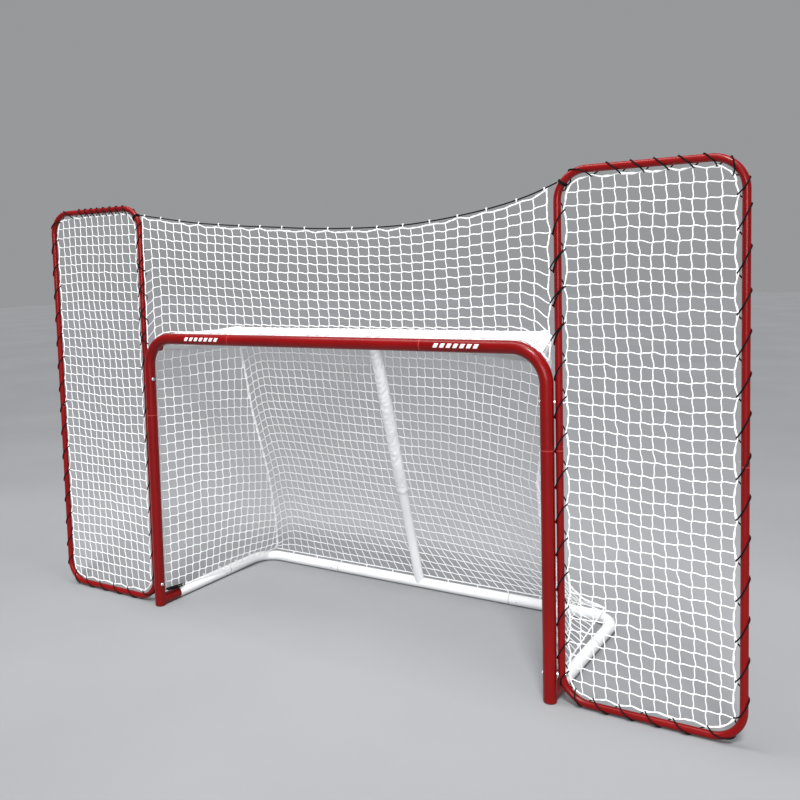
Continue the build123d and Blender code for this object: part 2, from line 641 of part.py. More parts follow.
def lace_turns(side):
    """Where each turn of a panel's lacing starts, from the rope's tie round the loop to it."""
    at = TIE_DISTANCE[side] + TIE_CLEARANCE
    end = TIE_DISTANCE[side] + LOOP_LENGTH - TIE_CLEARANCE
    turns = []
    while at < end:
        turns.append(at)
        tube = sum(at % LOOP_LENGTH > stop for stop in LOOP_ENDS)
        pitch = LACE_PITCHES[side][tube]
        at += pitch
    if end - turns[-1] < pitch / 2:
        turns.pop()
    return turns + [end]


def lace_corner(side, place, out, quarter, reach):
    """A corner of a turn about a panel's tube, counted from the outside over the front."""
    angle = math.radians(45 - PANEL_TURN - 90 * quarter)
    out_by, back_by = reach * math.cos(angle), reach * math.sin(angle)
    x = side * (PANEL_X + PANEL_WIDTH / 2) + place.X + out.X * out_by
    z = PANEL_FOOT_Z + PANEL_HEIGHT / 2 + place.Y + out.Y * out_by
    return Vector(x, PANEL_BACK + back_by, z)


def make_lacing(side):
    turns = lace_turns(side)
    reach = LACE_APOTHEM * math.sqrt(2)
    points = []
    for start, end in zip(turns, turns[1:]):
        for quarter in range(4):
            place, out = loop_point(start + (end - start) * quarter / 4)
            on_bend = abs(out.X * out.Y) > 0.01
            ease = LACE_EASE if on_bend else 1
            points.append(lace_corner(side, place, out, quarter, reach * ease))
    return rounded_cord(points, LACE_D)


def make_backstop_lacing(side):
    """The cord that holds an edge of the backstop net, wound over a panel's own lacing."""
    low, high = OUTER_LACE_SPAN
    reach = OUTER_LACE_APOTHEM * math.sqrt(2)
    points = []
    for step in range(OUTER_LACE_QUARTERS + 1):
        z = low + (high - low) * step / OUTER_LACE_QUARTERS
        place = Vector(-side * PANEL_WIDTH / 2, z - PANEL_FOOT_Z - PANEL_HEIGHT / 2)
        points.append(lace_corner(side, place, Vector(-side, 0), step, reach))
    return rounded_cord(points, LACE_D)


def make_rope_ties():
    """Two turns of the rope about each panel's tube at its inner top corner."""
    turns = []
    middle_z = PANEL_FOOT_Z + PANEL_HEIGHT / 2
    for side in SIDE_NAMES:
        place, out = loop_point(TIE_DISTANCE[side])
        centre = Vector(side * (PANEL_X + PANEL_WIDTH / 2) + place.X, PANEL_BACK, middle_z + place.Y)
        tube = Vector(out.Y, 0, -out.X)
        for shift in (-TIE_SPACING / 2, TIE_SPACING / 2):
            turns.append(ring(centre + tube * shift, tube, PANEL_R + 0.2 + ROPE_D / 2, ROPE_D))
    return turns


def make_foot_loop(side, inset, rear_y):
    """A long loop of cord over a post's stub, through the lower front corner of the side net."""
    x = side * (POST_X - inset)
    front_z, rear_z = (FRAME_OD + rise for rise in FOOT_LOOP_RISE)
    half = FOOT_LOOP_WIDTH / 2
    ends = [(FOOT_LOOP_FRONT_Y, front_z), (rear_y, rear_z)]
    lower = [Vector(x, y, z - half) for y, z in ends]
    upper = [Vector(x, y, z + half) for y, z in reversed(ends)]
    path = FilletPolyline(*lower, *upper, radius=FOOT_LOOP_WIDTH * 0.42, close=True)
    start = Plane(origin=path @ 0, z_dir=path % 0)
    return sweep(start * Circle(LACE_D / 2), path=path).solid()


def make_corner_ties():
    """Loops of lacing cord at the feet of the posts and turns of it about the shelf's sockets."""
    ties = []
    for side in SIDE_NAMES:
        for inset, rear_y in FOOT_LOOPS:
            ties.append(make_foot_loop(side, inset, rear_y))
        for distance in SOCKET_TURNS:
            at = along(ELBOW[side], SHELF_CORNER[side], distance)
            ties.append(ring(at, shelf_arm(side), SHELF_R + 0.3 + LACE_D / 2, LACE_D))
    return ties


# Pegs that the nets hook on, welded to the posts, the crossbar and the base
def make_peg(at, direction):
    pin = Solid.make_cylinder(PEG_R, PEG_LENGTH)
    head = Pos(0, 0, PEG_LENGTH - PEG_HEAD_THICK) * Solid.make_cylinder(PEG_HEAD_R, PEG_HEAD_THICK)
    place = Plane(origin=Vector(*at) + Vector(*direction) * (FRAME_R + SEAT_PLAY), z_dir=direction)
    return place.location * (pin + head).solid()


def make_pegs():
    pegs = []
    for count in range(-5, 6):
        x = count * PEG_PITCH
        pegs.append(make_peg((x, 0, CROSSBAR_Z), (0, 1, 0)))
        if x:
            pegs.append(make_peg((x, BASE_DEPTH, BASE_Z), (0, 0, 1)))
    for side in SIDE_NAMES:
        for z in PEG_HEIGHTS:
            pegs.append(make_peg((side * POST_X, 0, z), (0, 1, 0)))
        for y in PEG_DEPTHS:
            pegs.append(make_peg((side * POST_X, y, BASE_Z), (0, 0, 1)))
    return pegs


for side, name in SIDE_NAMES.items():
    save(f"{name}_post", make_post(side))
    save(f"{name}_corner_tube", make_corner_tube(side))
    save(f"{name}_base_rail", make_base_rail(side))
    save(f"{name}_base_corner", make_base_corner(side))
    save(f"{name}_shelf_tube", make_shelf_tube(side))
    save(f"{name}_shelf_sleeve", make_shelf_sleeve(side))
    save(f"{name}_panel_lower_tube", make_panel_lower(side))
    save(f"{name}_panel_upper_tube", make_panel_upper(side))
    save(f"{name}_panel_net", make_panel_net(side))
    save(f"{name}_panel_lacing", make_lacing(side))
    save(f"{name}_backstop_lacing", make_backstop_lacing(side))
save("crossbar_tube", make_crossbar())
save("rear_base_tube", make_rear_tube())
save("foot_caps", *[make_foot_cap(side) for side in SIDE_NAMES])
save("shelf_tee", make_tee())
save("centre_post", make_centre_post())
save("centre_post_sleeve", make_post_sleeve())
save("shelf_screws", *[make_screw(plane) for plane in SCREWS.values()])
save("goal_net_back", make_back_net())
save("goal_net_left", make_side_net(LEFT, LEFT_SEAM))
save("goal_net_right", make_side_net(RIGHT, RIGHT_SEAM))
save("goal_net_top", make_top_net())
save("backstop_net", make_backstop_net())
save("backstop_rope", make_rope())
save("rope_ties", *make_rope_ties())
save("corner_ties", *make_corner_ties())
save("net_pegs", *make_pegs())
bolt_places = [(side, height) for side in SIDE_NAMES for height in BOLT_HEIGHTS]
save("panel_bolts", *[make_bolt(*place) for place in bolt_places])
save("panel_nuts", *[make_nut(*place) for place in bolt_places])
save("panel_washers", *[make_washer(*place) for place in bolt_places])
save("button_springs", *[make_clip(spot) for spot in BUTTONS])
for spot in BUTTONS:
    save(f"{spot}_button", make_button(spot))
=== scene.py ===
"""Looks of a hockey goal with side panels and a backstop net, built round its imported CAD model.

Metres. X runs along the mouth, Y back into the goal and Z up. goal_point() and shifted() take places whose Y
is measured from the mouth's plane, and give them in the model's own frame.
"""

import bpy
import json
import math
import numpy as np
from mathutils import Matrix, Vector, noise


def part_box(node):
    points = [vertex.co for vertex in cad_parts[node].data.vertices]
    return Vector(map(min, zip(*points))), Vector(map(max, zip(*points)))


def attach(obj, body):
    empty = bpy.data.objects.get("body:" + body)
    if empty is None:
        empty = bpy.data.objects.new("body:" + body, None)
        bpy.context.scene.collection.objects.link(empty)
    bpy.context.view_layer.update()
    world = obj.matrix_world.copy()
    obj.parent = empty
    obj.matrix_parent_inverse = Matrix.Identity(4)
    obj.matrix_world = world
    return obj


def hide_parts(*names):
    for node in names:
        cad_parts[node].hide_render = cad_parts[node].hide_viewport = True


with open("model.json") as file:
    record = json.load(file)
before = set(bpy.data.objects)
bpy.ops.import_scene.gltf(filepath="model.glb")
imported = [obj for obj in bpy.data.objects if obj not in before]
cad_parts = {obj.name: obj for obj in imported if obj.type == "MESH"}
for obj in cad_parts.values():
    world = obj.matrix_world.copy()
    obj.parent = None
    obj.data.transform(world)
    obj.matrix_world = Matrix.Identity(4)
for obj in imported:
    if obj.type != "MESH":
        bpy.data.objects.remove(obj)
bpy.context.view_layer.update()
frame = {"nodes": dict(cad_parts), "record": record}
scene = bpy.context.scene
nodes = frame["nodes"]

# -------- sizes that the model's boxes don't give
FRAME_BEND = 0.127  # radius of the mouth's upper corners
PANEL_BEND = 0.100
SHELF_BEND = 0.080
SHELF_R = 0.02225
SHELF_X = 0.790  # where the lines of a shelf arm and of the shelf's rear meet
ELBOW_X, ELBOW_Z = 0.9012, 1.2060  # where a shelf arm leaves the mouth's corner

# -------- sizes from the model's boxes
BAR_LOW, BAR_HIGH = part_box("crossbar_tube")
FRAME_R = (BAR_HIGH.z - BAR_LOW.z) / 2
MOUTH_Y = (BAR_LOW.y + BAR_HIGH.y) / 2
BAR_Z = (BAR_LOW.z + BAR_HIGH.z) / 2
POST_LOW, POST_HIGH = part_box("right_post")
POST_X = (POST_LOW.x + POST_HIGH.x) / 2
BEND_MIDDLE_X, BEND_MIDDLE_Z = POST_X - FRAME_BEND, BAR_Z - FRAME_BEND
LOWER_LOW, LOWER_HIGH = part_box("right_panel_lower_tube")
UPPER_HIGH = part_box("right_panel_upper_tube")[1]
PANEL_R = (LOWER_HIGH.y - LOWER_LOW.y) / 2
PANEL_Y = (LOWER_HIGH.y + LOWER_LOW.y) / 2 - MOUTH_Y
PANEL_X = LOWER_LOW.x + PANEL_R
PANEL_WIDTH = LOWER_HIGH.x - LOWER_LOW.x - 2 * PANEL_R
PANEL_FOOT_Z = LOWER_LOW.z + PANEL_R
PANEL_HEIGHT = UPPER_HIGH.z - LOWER_LOW.z - 2 * PANEL_R
SHELF_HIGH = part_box("right_shelf_tube")[1]
SHELF_Y = SHELF_HIGH.y - SHELF_R - MOUTH_Y
SHELF_Z = SHELF_HIGH.z - SHELF_R
REAR_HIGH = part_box("rear_base_tube")[1]
BASE_DEPTH = REAR_HIGH.y - FRAME_R - MOUTH_Y
BASE_Z = FRAME_R

# -------- sizes of the soft parts
MESH = 0.043  # side of a side net's mesh
NET_CORD = 0.0039
BORDER_CORD = 0.0043
LACE_CORD = 0.0048
ROPE_CORD = 0.005
# Height and X of the slanting seams between the back net and the side nets, from the foot up
LEFT_SEAM = [(0.062, 0.880), (0.28, 0.832), (0.55, 0.806), (0.90, 0.812), (1.205, 0.790)]
RIGHT_SEAM = [(0.062, 0.882), (0.24, 0.712), (0.50, 0.650), (0.68, 0.652), (1.205, 0.782)]


def goal_point(x, y, z):
    """A place measured from the mouth's plane, in the model's frame."""
    return Vector((x, y + MOUTH_Y, z))


def shifted(points):
    """An array of places measured from the mouth's plane, in the model's frame."""
    moved = np.array(points, float)
    moved[..., 1] += MOUTH_Y
    return moved


# -------- camera
def add_camera():
    """A pinhole camera: focal length and centre are in widths of the picture, angles in radians."""
    place = goal_point(2.0369, -2.9360, 1.5291)
    focal, centre_x, centre_y = 1.1289, 0.4205, 0.4231
    pitch, roll, yaw = 0.0760, -0.0290, 0.5868
    level = Matrix(((math.cos(yaw), math.sin(yaw), 0), (-math.sin(yaw), math.cos(yaw), 0), (0, 0, 1)))
    tilt = Matrix(
        ((1, 0, 0), (0, -math.sin(pitch), -math.cos(pitch)), (0, math.cos(pitch), -math.sin(pitch)))
    )
    lean = Matrix(((math.cos(roll), -math.sin(roll), 0), (math.sin(roll), math.cos(roll), 0), (0, 0, 1)))
    right, down, ahead = lean @ tilt @ level
    data = bpy.data.cameras.new("camera")
    data.sensor_width = 36
    data.lens = focal * data.sensor_width
    data.shift_x = 0.5 - centre_x
    data.shift_y = centre_y - 0.5
    data.clip_end = 100
    camera = bpy.data.objects.new("camera", data)
    scene.collection.objects.link(camera)
    turn = Matrix((right, -down, -ahead)).transposed().to_4x4()
    camera.matrix_world = Matrix.Translation(place) @ turn
    scene.camera = camera


add_camera()


# -------- materials
SEAM_RING = 0.004  # width of the ring in the paint at a seam
CREASE_SHARE = 3.0  # height of a fabric's creases, in heights of its weave


def new_material(name, color, roughness, metallic=0.0):
    material = bpy.data.materials.new(name)
    material.use_nodes = True
    shader = material.node_tree.nodes["Principled BSDF"]
    shader.inputs["Base Color"].default_value = (*color, 1)
    shader.inputs["Roughness"].default_value = roughness
    shader.inputs["Metallic"].default_value = metallic
    return material, shader


def add_node(material, kind, **values):
    """A node with its properties and unlinked inputs set by name."""
    node = material.node_tree.nodes.new(kind)
    for key, value in values.items():
        if hasattr(node, key):
            setattr(node, key, value)
        else:
            node.inputs[key].default_value = value
    return node


def join(material, source, output, target, socket):
    material.node_tree.links.new(source.outputs[output], target.inputs[socket])


def vary_color(material, shader, low, high, scale):
    """Colour that drifts between two shades over the object. Gives the node of the place on the object."""
    place = add_node(material, "ShaderNodeTexCoord")
    spots = add_node(material, "ShaderNodeTexNoise", Scale=scale, Detail=4.0)
    ramp = add_node(material, "ShaderNodeValToRGB")
    for stop, position, shade in zip(ramp.color_ramp.elements, (0.35, 0.65), (low, high)):
        stop.position, stop.color = position, (*shade, 1)
    join(material, place, "Object", spots, "Vector")
    join(material, spots, "Fac", ramp, "Fac")
    join(material, ramp, "Color", shader, "Base Color")
    return place


def vary_roughness(material, shader, place, low, high, scale):
    smear = add_node(material, "ShaderNodeTexNoise", Scale=scale, Detail=3.0)
    span = add_node(material, "ShaderNodeMapRange")
    span.inputs["To Min"].default_value = low
    span.inputs["To Max"].default_value = high
    join(material, place, "Object", smear, "Vector")
    join(material, smear, "Fac", span, "Value")
    join(material, span, "Result", shader, "Roughness")


def add_bump(material, shader, height_node, output, strength, distance):
    bump = add_node(material, "ShaderNodeBump", Strength=strength, Distance=distance)
    join(material, height_node, output, bump, "Height")
    join(material, bump, "Normal", shader, "Normal")


def paint_seam_wear_and_shade(material, shader, place, seams, shade):
    """A thin ring in the paint at each seam, given as axis and place: worn paint where its colour is lighter
    than the paint, painted shade where it is darker. X counts both ways.
    """
    paint = shader.inputs["Base Color"].links[0].from_node
    split = add_node(material, "ShaderNodeSeparateXYZ")
    join(material, place, "Object", split, "Vector")
    mask = None
    for axis, at in seams:
        source, output = split, axis
        if axis == "X":
            source, output = add_node(material, "ShaderNodeMath", operation="ABSOLUTE"), "Value"
            join(material, split, axis, source, 0)
        off = add_node(material, "ShaderNodeMath", operation="COMPARE")
        off.inputs[1].default_value, off.inputs[2].default_value = at, SEAM_RING / 2
        join(material, source, output, off, 0)
        if mask is None:
            mask = off
            continue
        both = add_node(material, "ShaderNodeMath", operation="MAXIMUM")
        join(material, mask, "Value", both, 0)
        join(material, off, "Value", both, 1)
        mask = both
    # mixes in the ring's colour: lighter worn paint, or painted shade in the seam's gap
    blend = add_node(material, "ShaderNodeMixRGB")
    blend.inputs["Color2"].default_value = (*shade, 1)
    join(material, mask, "Value", blend, "Fac")
    join(material, paint, "Color", blend, "Color1")
    join(material, blend, "Color", shader, "Base Color")


def painted(name, low, high, roughness, coat, seams=(), seam_wear_and_shade=None):
    """Glossy powder coat with a faint orange peel."""
    material, shader = new_material(name, high, roughness)
    place = vary_color(material, shader, low, high, scale=3.0)
    if seams:
        paint_seam_wear_and_shade(material, shader, place, seams, seam_wear_and_shade)
    vary_roughness(material, shader, place, roughness - 0.05, roughness + 0.08, scale=9.0)
    shader.inputs["Specular IOR Level"].default_value = 0.18
    shader.inputs["Coat Weight"].default_value = coat
    shader.inputs["Coat Roughness"].default_value = 0.08
    peel = add_node(material, "ShaderNodeTexNoise", Scale=420.0, Detail=2.0)
    join(material, place, "Object", peel, "Vector")
    add_bump(material, shader, peel, "Fac", strength=0.06, distance=0.0006)
    return material


def cord_material(name, low, high, roughness, braid_scale):
    """Braided cord: fine ribs across a slightly uneven colour."""
    material, shader = new_material(name, high, roughness)
    place = vary_color(material, shader, low, high, scale=30.0)
    shader.inputs["Specular IOR Level"].default_value = 0.15
    braid = add_node(material, "ShaderNodeTexVoronoi", Scale=braid_scale)
    join(material, place, "Object", braid, "Vector")
    add_bump(material, shader, braid, "Distance", strength=0.5, distance=0.0006)
    return material


def fabric_material(name, low, high):
    """Thin woven nylon: a fine weave over soft creases."""
    material, shader = new_material(name, high, roughness=0.62)
    place = vary_color(material, shader, low, high, scale=14.0)
    shader.inputs["Sheen Weight"].default_value = 0.2
    warp = add_node(material, "ShaderNodeTexWave", Scale=260.0, Distortion=0.6)
    weft = add_node(material, "ShaderNodeTexWave", Scale=260.0, Distortion=0.6, bands_direction="Z")
    crease = add_node(material, "ShaderNodeTexNoise", Scale=55.0, Detail=5.0)
    weave = add_node(material, "ShaderNodeMath", operation="MULTIPLY")
    surface = add_node(material, "ShaderNodeMath", operation="MULTIPLY_ADD")
    for texture in (warp, weft, crease):
        join(material, place, "Object", texture, "Vector")
    join(material, warp, "Fac", weave, 0)
    join(material, weft, "Fac", weave, 1)
    join(material, crease, "Fac", surface, 0)
    surface.inputs[1].default_value = CREASE_SHARE
    join(material, weave, "Value", surface, 2)
    add_bump(material, shader, surface, "Value", strength=0.45, distance=0.0011)
    return material


def steel_material(name, low, high, roughness):
    """Plated steel, a little uneven in shade and polish."""
    material, shader = new_material(name, high, roughness, metallic=1.0)
    place = vary_color(material, shader, low, high, scale=120.0)
    vary_roughness(material, shader, place, roughness - 0.06, roughness + 0.1, scale=200.0)
    return material


RED_SEAMS = [("X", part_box("right_corner_tube")[0].x), ("Z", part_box("right_corner_tube")[0].z)]
WHITE_SEAMS = [("X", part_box("right_base_corner")[0].x), ("Y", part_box("right_base_rail")[1].y)]
RED = painted(
    "red_powder_coat",
    low=(0.155, 0.0003, 0.0006),
    high=(0.195, 0.0006, 0.0010),
    roughness=0.32,
    coat=0.12,
    seams=RED_SEAMS,
    # a lighter ring of chipped paint at each seam of the red frame
    seam_wear_and_shade=(0.33, 0.035, 0.035),
)
WHITE = painted(
    "white_powder_coat",
    low=(0.80, 0.81, 0.82),
    high=(0.88, 0.885, 0.89),
    roughness=0.28,
    coat=0.6,
    seams=WHITE_SEAMS,
    # painted shade: a grey ring at each seam of the white base stands in for the shade in the joint's gap
    seam_wear_and_shade=(0.50, 0.50, 0.50),
)
NET = cord_material(
    "white_braided_cord", (0.86, 0.87, 0.89), (0.95, 0.955, 0.96), roughness=0.62, braid_scale=620.0
)
BLACK = cord_material(
    "black_braided_cord", (0.0015, 0.0015, 0.002), (0.004, 0.004, 0.005), roughness=0.8, braid_scale=700.0
)
SLEEVE = fabric_material("white_sleeve_nylon", (0.80, 0.81, 0.83), (0.91, 0.915, 0.92))
CAP = painted("red_moulded_plastic", (0.16, 0.001, 0.002), (0.20, 0.002, 0.003), roughness=0.45, coat=0.05)
PEG = painted("white_moulded_plastic", (0.78, 0.79, 0.80), (0.86, 0.86, 0.87), roughness=0.45, coat=0.1)
STEEL = steel_material("zinc_plated_steel", (0.62, 0.62, 0.64), (0.82, 0.82, 0.84), roughness=0.26)
SPRING = steel_material("spring_steel", (0.30, 0.30, 0.32), (0.45, 0.45, 0.47), roughness=0.35)
LABEL = painted("white_label_film", (0.82, 0.82, 0.83), (0.90, 0.90, 0.91), roughness=0.35, coat=0.3)

SLOT_MATERIALS = {
    "red_paint": RED,
    "white_paint": WHITE,
    "sleeve_fabric": SLEEVE,
    "net_cord": NET,
    "black_cord": BLACK,
    "cap_plastic": CAP,
    "peg_plastic": PEG,
    "bright_steel": STEEL,
    "spring_steel": SPRING,
}
SHARP_FROM = math.radians(38)
for part in frame["record"]["subparts"]:
    mesh = nodes[part["node"]].data
    mesh.materials.clear()
    mesh.materials.append(SLOT_MATERIALS[part["material_slot"]])
    mesh.shade_smooth()
    mesh.set_sharp_from_angle(angle=SHARP_FROM)


# -------- building meshes
class Builder:
    """Collects vertices and faces, then makes one piece of them."""

    def __init__(self):
        self.verts, self.faces, self.count = [], [], 0

    def add(self, verts, faces):
        self.verts.append(np.asarray(verts, float).reshape(-1, 3))
        self.faces.extend([tuple(index + self.count for index in face) for face in faces])
        self.count += len(self.verts[-1])

    def tube(self, points, radius, sides=8, normal=None):
        """A closed tube along points. normal is a direction that the points never run along."""
        points = np.asarray(points, float)
        tangent = np.gradient(points, axis=0)
        tangent /= np.linalg.norm(tangent, axis=1)[:, None] + 1e-12
        side = rolling_sides(tangent) if normal is None else np.cross(tangent, normal)
        side /= np.linalg.norm(side, axis=1)[:, None] + 1e-12
        up = np.cross(side, tangent)
        angles = np.arange(sides) * 2 * math.pi / sides
        radius = np.broadcast_to(np.asarray(radius, float), (len(points),))[:, None, None]
        ring = np.cos(angles)[None, :, None] * side[:, None] + np.sin(angles)[None, :, None] * up[:, None]
        verts = points[:, None] + radius * ring
        rows = len(points)
        faces = []
        for row in range(rows - 1):
            here, there = row * sides, (row + 1) * sides
            for k in range(sides):
                nxt = (k + 1) % sides
                faces.append((here + k, here + nxt, there + nxt, there + k))
        faces.append(tuple(range(sides))[::-1])
        faces.append(tuple(range((rows - 1) * sides, rows * sides)))
        self.add(verts, faces)

    def cord(self, points, per_run, thickness, sides=8, normal=None):
        """A smooth cord through points that are measured from the mouth's plane."""
        self.tube(shifted(smooth_line(points, per_run)), thickness / 2, sides, normal)

    def blob(self, centre, axes):
        """A rounded knot with three half axes."""
        verts = np.asarray(centre) + BLOB_VERTS @ np.asarray(axes)
        self.add(verts, BLOB_FACES)

    def make(self, name, material, slot, replaces=()):
        """The piece, riding on the goal, in place of the model's nodes that it replaces."""
        mesh = bpy.data.meshes.new(name)
        mesh.from_pydata(np.concatenate(self.verts).tolist(), [], self.faces)
        mesh.materials.append(material)
        mesh.shade_smooth()
        piece = bpy.data.objects.new(name, mesh)
        scene.collection.objects.link(piece)
        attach(piece, "goal")
        if replaces:
            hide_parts(*replaces)
        return piece


def rolling_sides(tangent):
    """Directions across a path that turn as little as they can along it."""
    sides = np.zeros_like(tangent)
    start = np.cross(tangent[0], (0.0, 0.0, 1.0))
    if np.linalg.norm(start) < 0.1:
        start = np.cross(tangent[0], (0.0, 1.0, 0.0))
    sides[0] = start / np.linalg.norm(start)
    for k in range(1, len(tangent)):
        side = sides[k - 1] - tangent[k] * (sides[k - 1] @ tangent[k])
        sides[k] = side / np.linalg.norm(side)
    return sides


def blob_shape(rings=4, sides=6):
    """A unit ball with few faces."""
    verts = [(0, 0, 1)]
    for ring in range(1, rings):
        height, around = math.cos(math.pi * ring / rings), math.sin(math.pi * ring / rings)
        for k in range(sides):
            turn = 2 * math.pi * k / sides
            verts.append((around * math.cos(turn), around * math.sin(turn), height))
    verts.append((0, 0, -1))
    faces = [(0, 1 + k, 1 + (k + 1) % sides) for k in range(sides)]
    for ring in range(rings - 2):
        here = 1 + ring * sides
        for k in range(sides):
            nxt = (k + 1) % sides
            faces.append((here + k, here + sides + k, here + sides + nxt, here + nxt))
    here, last = 1 + (rings - 2) * sides, len(verts) - 1
    faces += [(here + k, last, here + (k + 1) % sides) for k in range(sides)]
    return np.array(verts), faces


BLOB_VERTS, BLOB_FACES = blob_shape()


def smooth_line(points, per_run=4):
    """A curve through all the points, with a few samples on each run."""
    points = np.asarray(points, float)
    ends = np.vstack([2 * points[0] - points[1], points, 2 * points[-1] - points[-2]])
    samples = []
    for k in range(1, len(ends) - 2):
        a, b, c, d = ends[k - 1], ends[k], ends[k + 1], ends[k + 2]
        for step in range(per_run):
            t = step / per_run
            slope, curve, twist = c - a, 2 * a - 5 * b + 4 * c - d, 3 * b - a - 3 * c + d
            samples.append(0.5 * (2 * b + slope * t + curve * t**2 + twist * t**3))
    samples.append(points[-1])
    return np.array(samples)


SEED_GAP = 7.31


def drift(x, y, seed):
    """A slow even wobble between about -1 and 1, of its own for each seed."""
    return noise.noise(Vector((x, y, seed * SEED_GAP)))


# -------- nets
KNOT_LEAN = 0.42  # how far the cords lean into a knot
KNOT_LONG, KNOT_SHORT = 0.0042, 0.0031  # half axes of a knot
EDGE_STEPS = 5  # samples along one side of a mesh


def leaning_cord(line, lean):
    """A cord through a row of knots. It enters and leaves each knot turned towards lean."""
    line, lean = np.asarray(line, float), np.asarray(lean, float)
    samples = []
    for a, b, lean_a, lean_b in zip(line, line[1:], lean, lean[1:]):
        run = b - a
        size = np.linalg.norm(run)
        leave, arrive = run + lean_a * size * KNOT_LEAN, run + lean_b * size * KNOT_LEAN
        for step in range(EDGE_STEPS):
            t = step / EDGE_STEPS
            samples.append(
                (2 * t**3 - 3 * t**2 + 1) * a
                + (t**3 - 2 * t**2 + t) * leave
                + (3 * t**2 - 2 * t**3) * b
                + (t**3 - t**2) * arrive
            )
    samples.append(line[-1])
    return samples


def unit(vectors):
    """The same directions at length 1."""
    return vectors / (np.linalg.norm(vectors, axis=-1, keepdims=True) + 1e-9)


def weave_net(builder, grid, keep=None):
    """Cords along the rows and columns of a grid of knots. keep marks the knots that the net has."""
    rows, columns = grid.shape[:2]
    keep = np.ones((rows, columns), bool) if keep is None else keep
    across = unit(np.gradient(grid, axis=1))
    upward = unit(np.gradient(grid, axis=0))
    normal = unit(np.cross(across, upward))
    for line, lean, marks, faces in (
        [(grid[r], upward[r], keep[r], normal[r]) for r in range(rows)]
        + [(grid[:, c], across[:, c], keep[:, c], normal[:, c]) for c in range(columns)]
    ):
        used = np.flatnonzero(marks)
        if len(used) > 1:
            first, last = used[0], used[-1] + 1
            path = leaning_cord(line[first:last], lean[first:last])
            builder.tube(path, NET_CORD / 2, 6, normal=faces[first:last].mean(axis=0))
    for r, c in zip(*np.nonzero(keep)):
        long_way = unit(across[r, c] + upward[r, c])
        short_way = unit(np.cross(normal[r, c], long_way))
        axes = (long_way * KNOT_LONG, short_way * KNOT_SHORT, normal[r, c] * KNOT_SHORT)
        builder.blob(grid[r, c], axes)


# The loop of a panel's tube, clockwise as seen from the front, from the top's left end
LOOP_RUNS = [PANEL_WIDTH - 2 * PANEL_BEND, PANEL_HEIGHT - 2 * PANEL_BEND] * 2
LOOP_ARC = PANEL_BEND * math.pi / 2
LOOP_LENGTH = sum(LOOP_RUNS) + 4 * LOOP_ARC


def loop_point(distance):
    """Place on the loop from the panel's middle, and the direction out of it, as X and Z."""
    distance %= LOOP_LENGTH
    place = np.array([-LOOP_RUNS[0] / 2, PANEL_HEIGHT / 2])
    heading, out = np.array([1.0, 0.0]), np.array([0.0, 1.0])
    for run in LOOP_RUNS:
        if distance <= run:
            return place + heading * distance, out
        distance -= run
        place = place + heading * run
        if distance <= LOOP_ARC:
            angle = distance / PANEL_BEND
            turned = out * math.cos(angle) + heading * math.sin(angle)
            return place - out * PANEL_BEND + turned * PANEL_BEND, turned
        distance -= LOOP_ARC
        place = place + (heading - out) * PANEL_BEND
        heading, out = -out, heading
    return place, out


TOP_END = LOOP_RUNS[0] + LOOP_ARC
RIGHT_END = TOP_END + LOOP_RUNS[1] + LOOP_ARC
BOTTOM_END = RIGHT_END + LOOP_RUNS[0] + LOOP_ARC
TIE_ARC = math.radians(36.4)  # how far round a panel's inner upper corner its corner tie is, from the side
# For each panel: X of its middle, distance from turn to turn along its top, right, bottom and left, and
# the place of its corner tie on the loop
PANELS = {
    "left": {
        "middle": -(PANEL_X + PANEL_WIDTH / 2),
        "pitches": [0.042, 0.112, 0.096, 0.113],
        "tie": LOOP_RUNS[0] + PANEL_BEND * (math.pi / 2 - TIE_ARC),
    },
    "right": {
        "middle": PANEL_X + PANEL_WIDTH / 2,
        "pitches": [0.077, 0.126, 0.090, 0.122],
        "tie": LOOP_LENGTH - PANEL_BEND * (math.pi / 2 - TIE_ARC),
    },
}
TIE_ROOM = 0.038  # from the corner tie to the ends of the lacing
PITCH_DRIFT = 0.14
CATCH_SHARE = 0.60  # share of a turn from the outside of the tube to the net
# From the tube's axis to the net's border: between turns, at a turn and round a corner
BORDER_FAR, BORDER_NEAR, BORDER_CORNER = 0.0320, 0.0205, 0.026
BORDER_REACH = 0.042  # how far along the border a turn pulls it
BORDER_STEP = 0.009  # length of one sample of the border
PANEL_COLUMNS, PANEL_ROWS = 13, 40
NEXT_SHARE = 0.15  # how much of the border's pull reaches the knots next to it


def lacing_turns(panel):
    """Where each turn of the lacing starts along the loop."""
    starts, at = [], panel["tie"] + TIE_ROOM
    end = panel["tie"] + LOOP_LENGTH - TIE_ROOM
    ends = [TOP_END, RIGHT_END, BOTTOM_END, LOOP_LENGTH]
    while at < end:
        starts.append(at)
        side = next(k for k, stop in enumerate(ends) if at % LOOP_LENGTH <= stop)
        pitch = panel["pitches"][side]
        at += pitch * (1 + PITCH_DRIFT * drift(at * 9, panel["middle"], 3))
    if end - starts[-1] < pitch / 2:
        starts.pop()
    return starts + [end]


def border_inset(panel, distance):
    """How far inside the tube's axis the net's border is: it is pulled towards the tube at each turn."""
    half = LOOP_LENGTH / 2
    nearest = min(abs((distance - catch + half) % LOOP_LENGTH - half) for catch in panel["catches"])
    _, out = loop_point(distance)
    square = (PANEL_BEND - BORDER_FAR) / max(abs(out[0]), abs(out[1]))
    far = PANEL_BEND - min(square, PANEL_BEND - BORDER_CORNER)
    slack = min(1.0, nearest / BORDER_REACH)
    return BORDER_NEAR + (far - BORDER_NEAR) * slack**0.8


def panel_place(panel, x, z, y=0.0):
    """A place measured from a panel's middle, as X, Y and Z measured from the mouth's plane."""
    return (panel["middle"] + x, PANEL_Y + y, PANEL_FOOT_Z + PANEL_HEIGHT / 2 + z)


def beside_tube(panel, at, out_by, behind=0.0):
    """A place beside a panel's tube: distance along the loop, out from the tube's axis and behind it."""
    place, out = loop_point(at)
    x, z = place + out * out_by
    return panel_place(panel, x, z, behind)


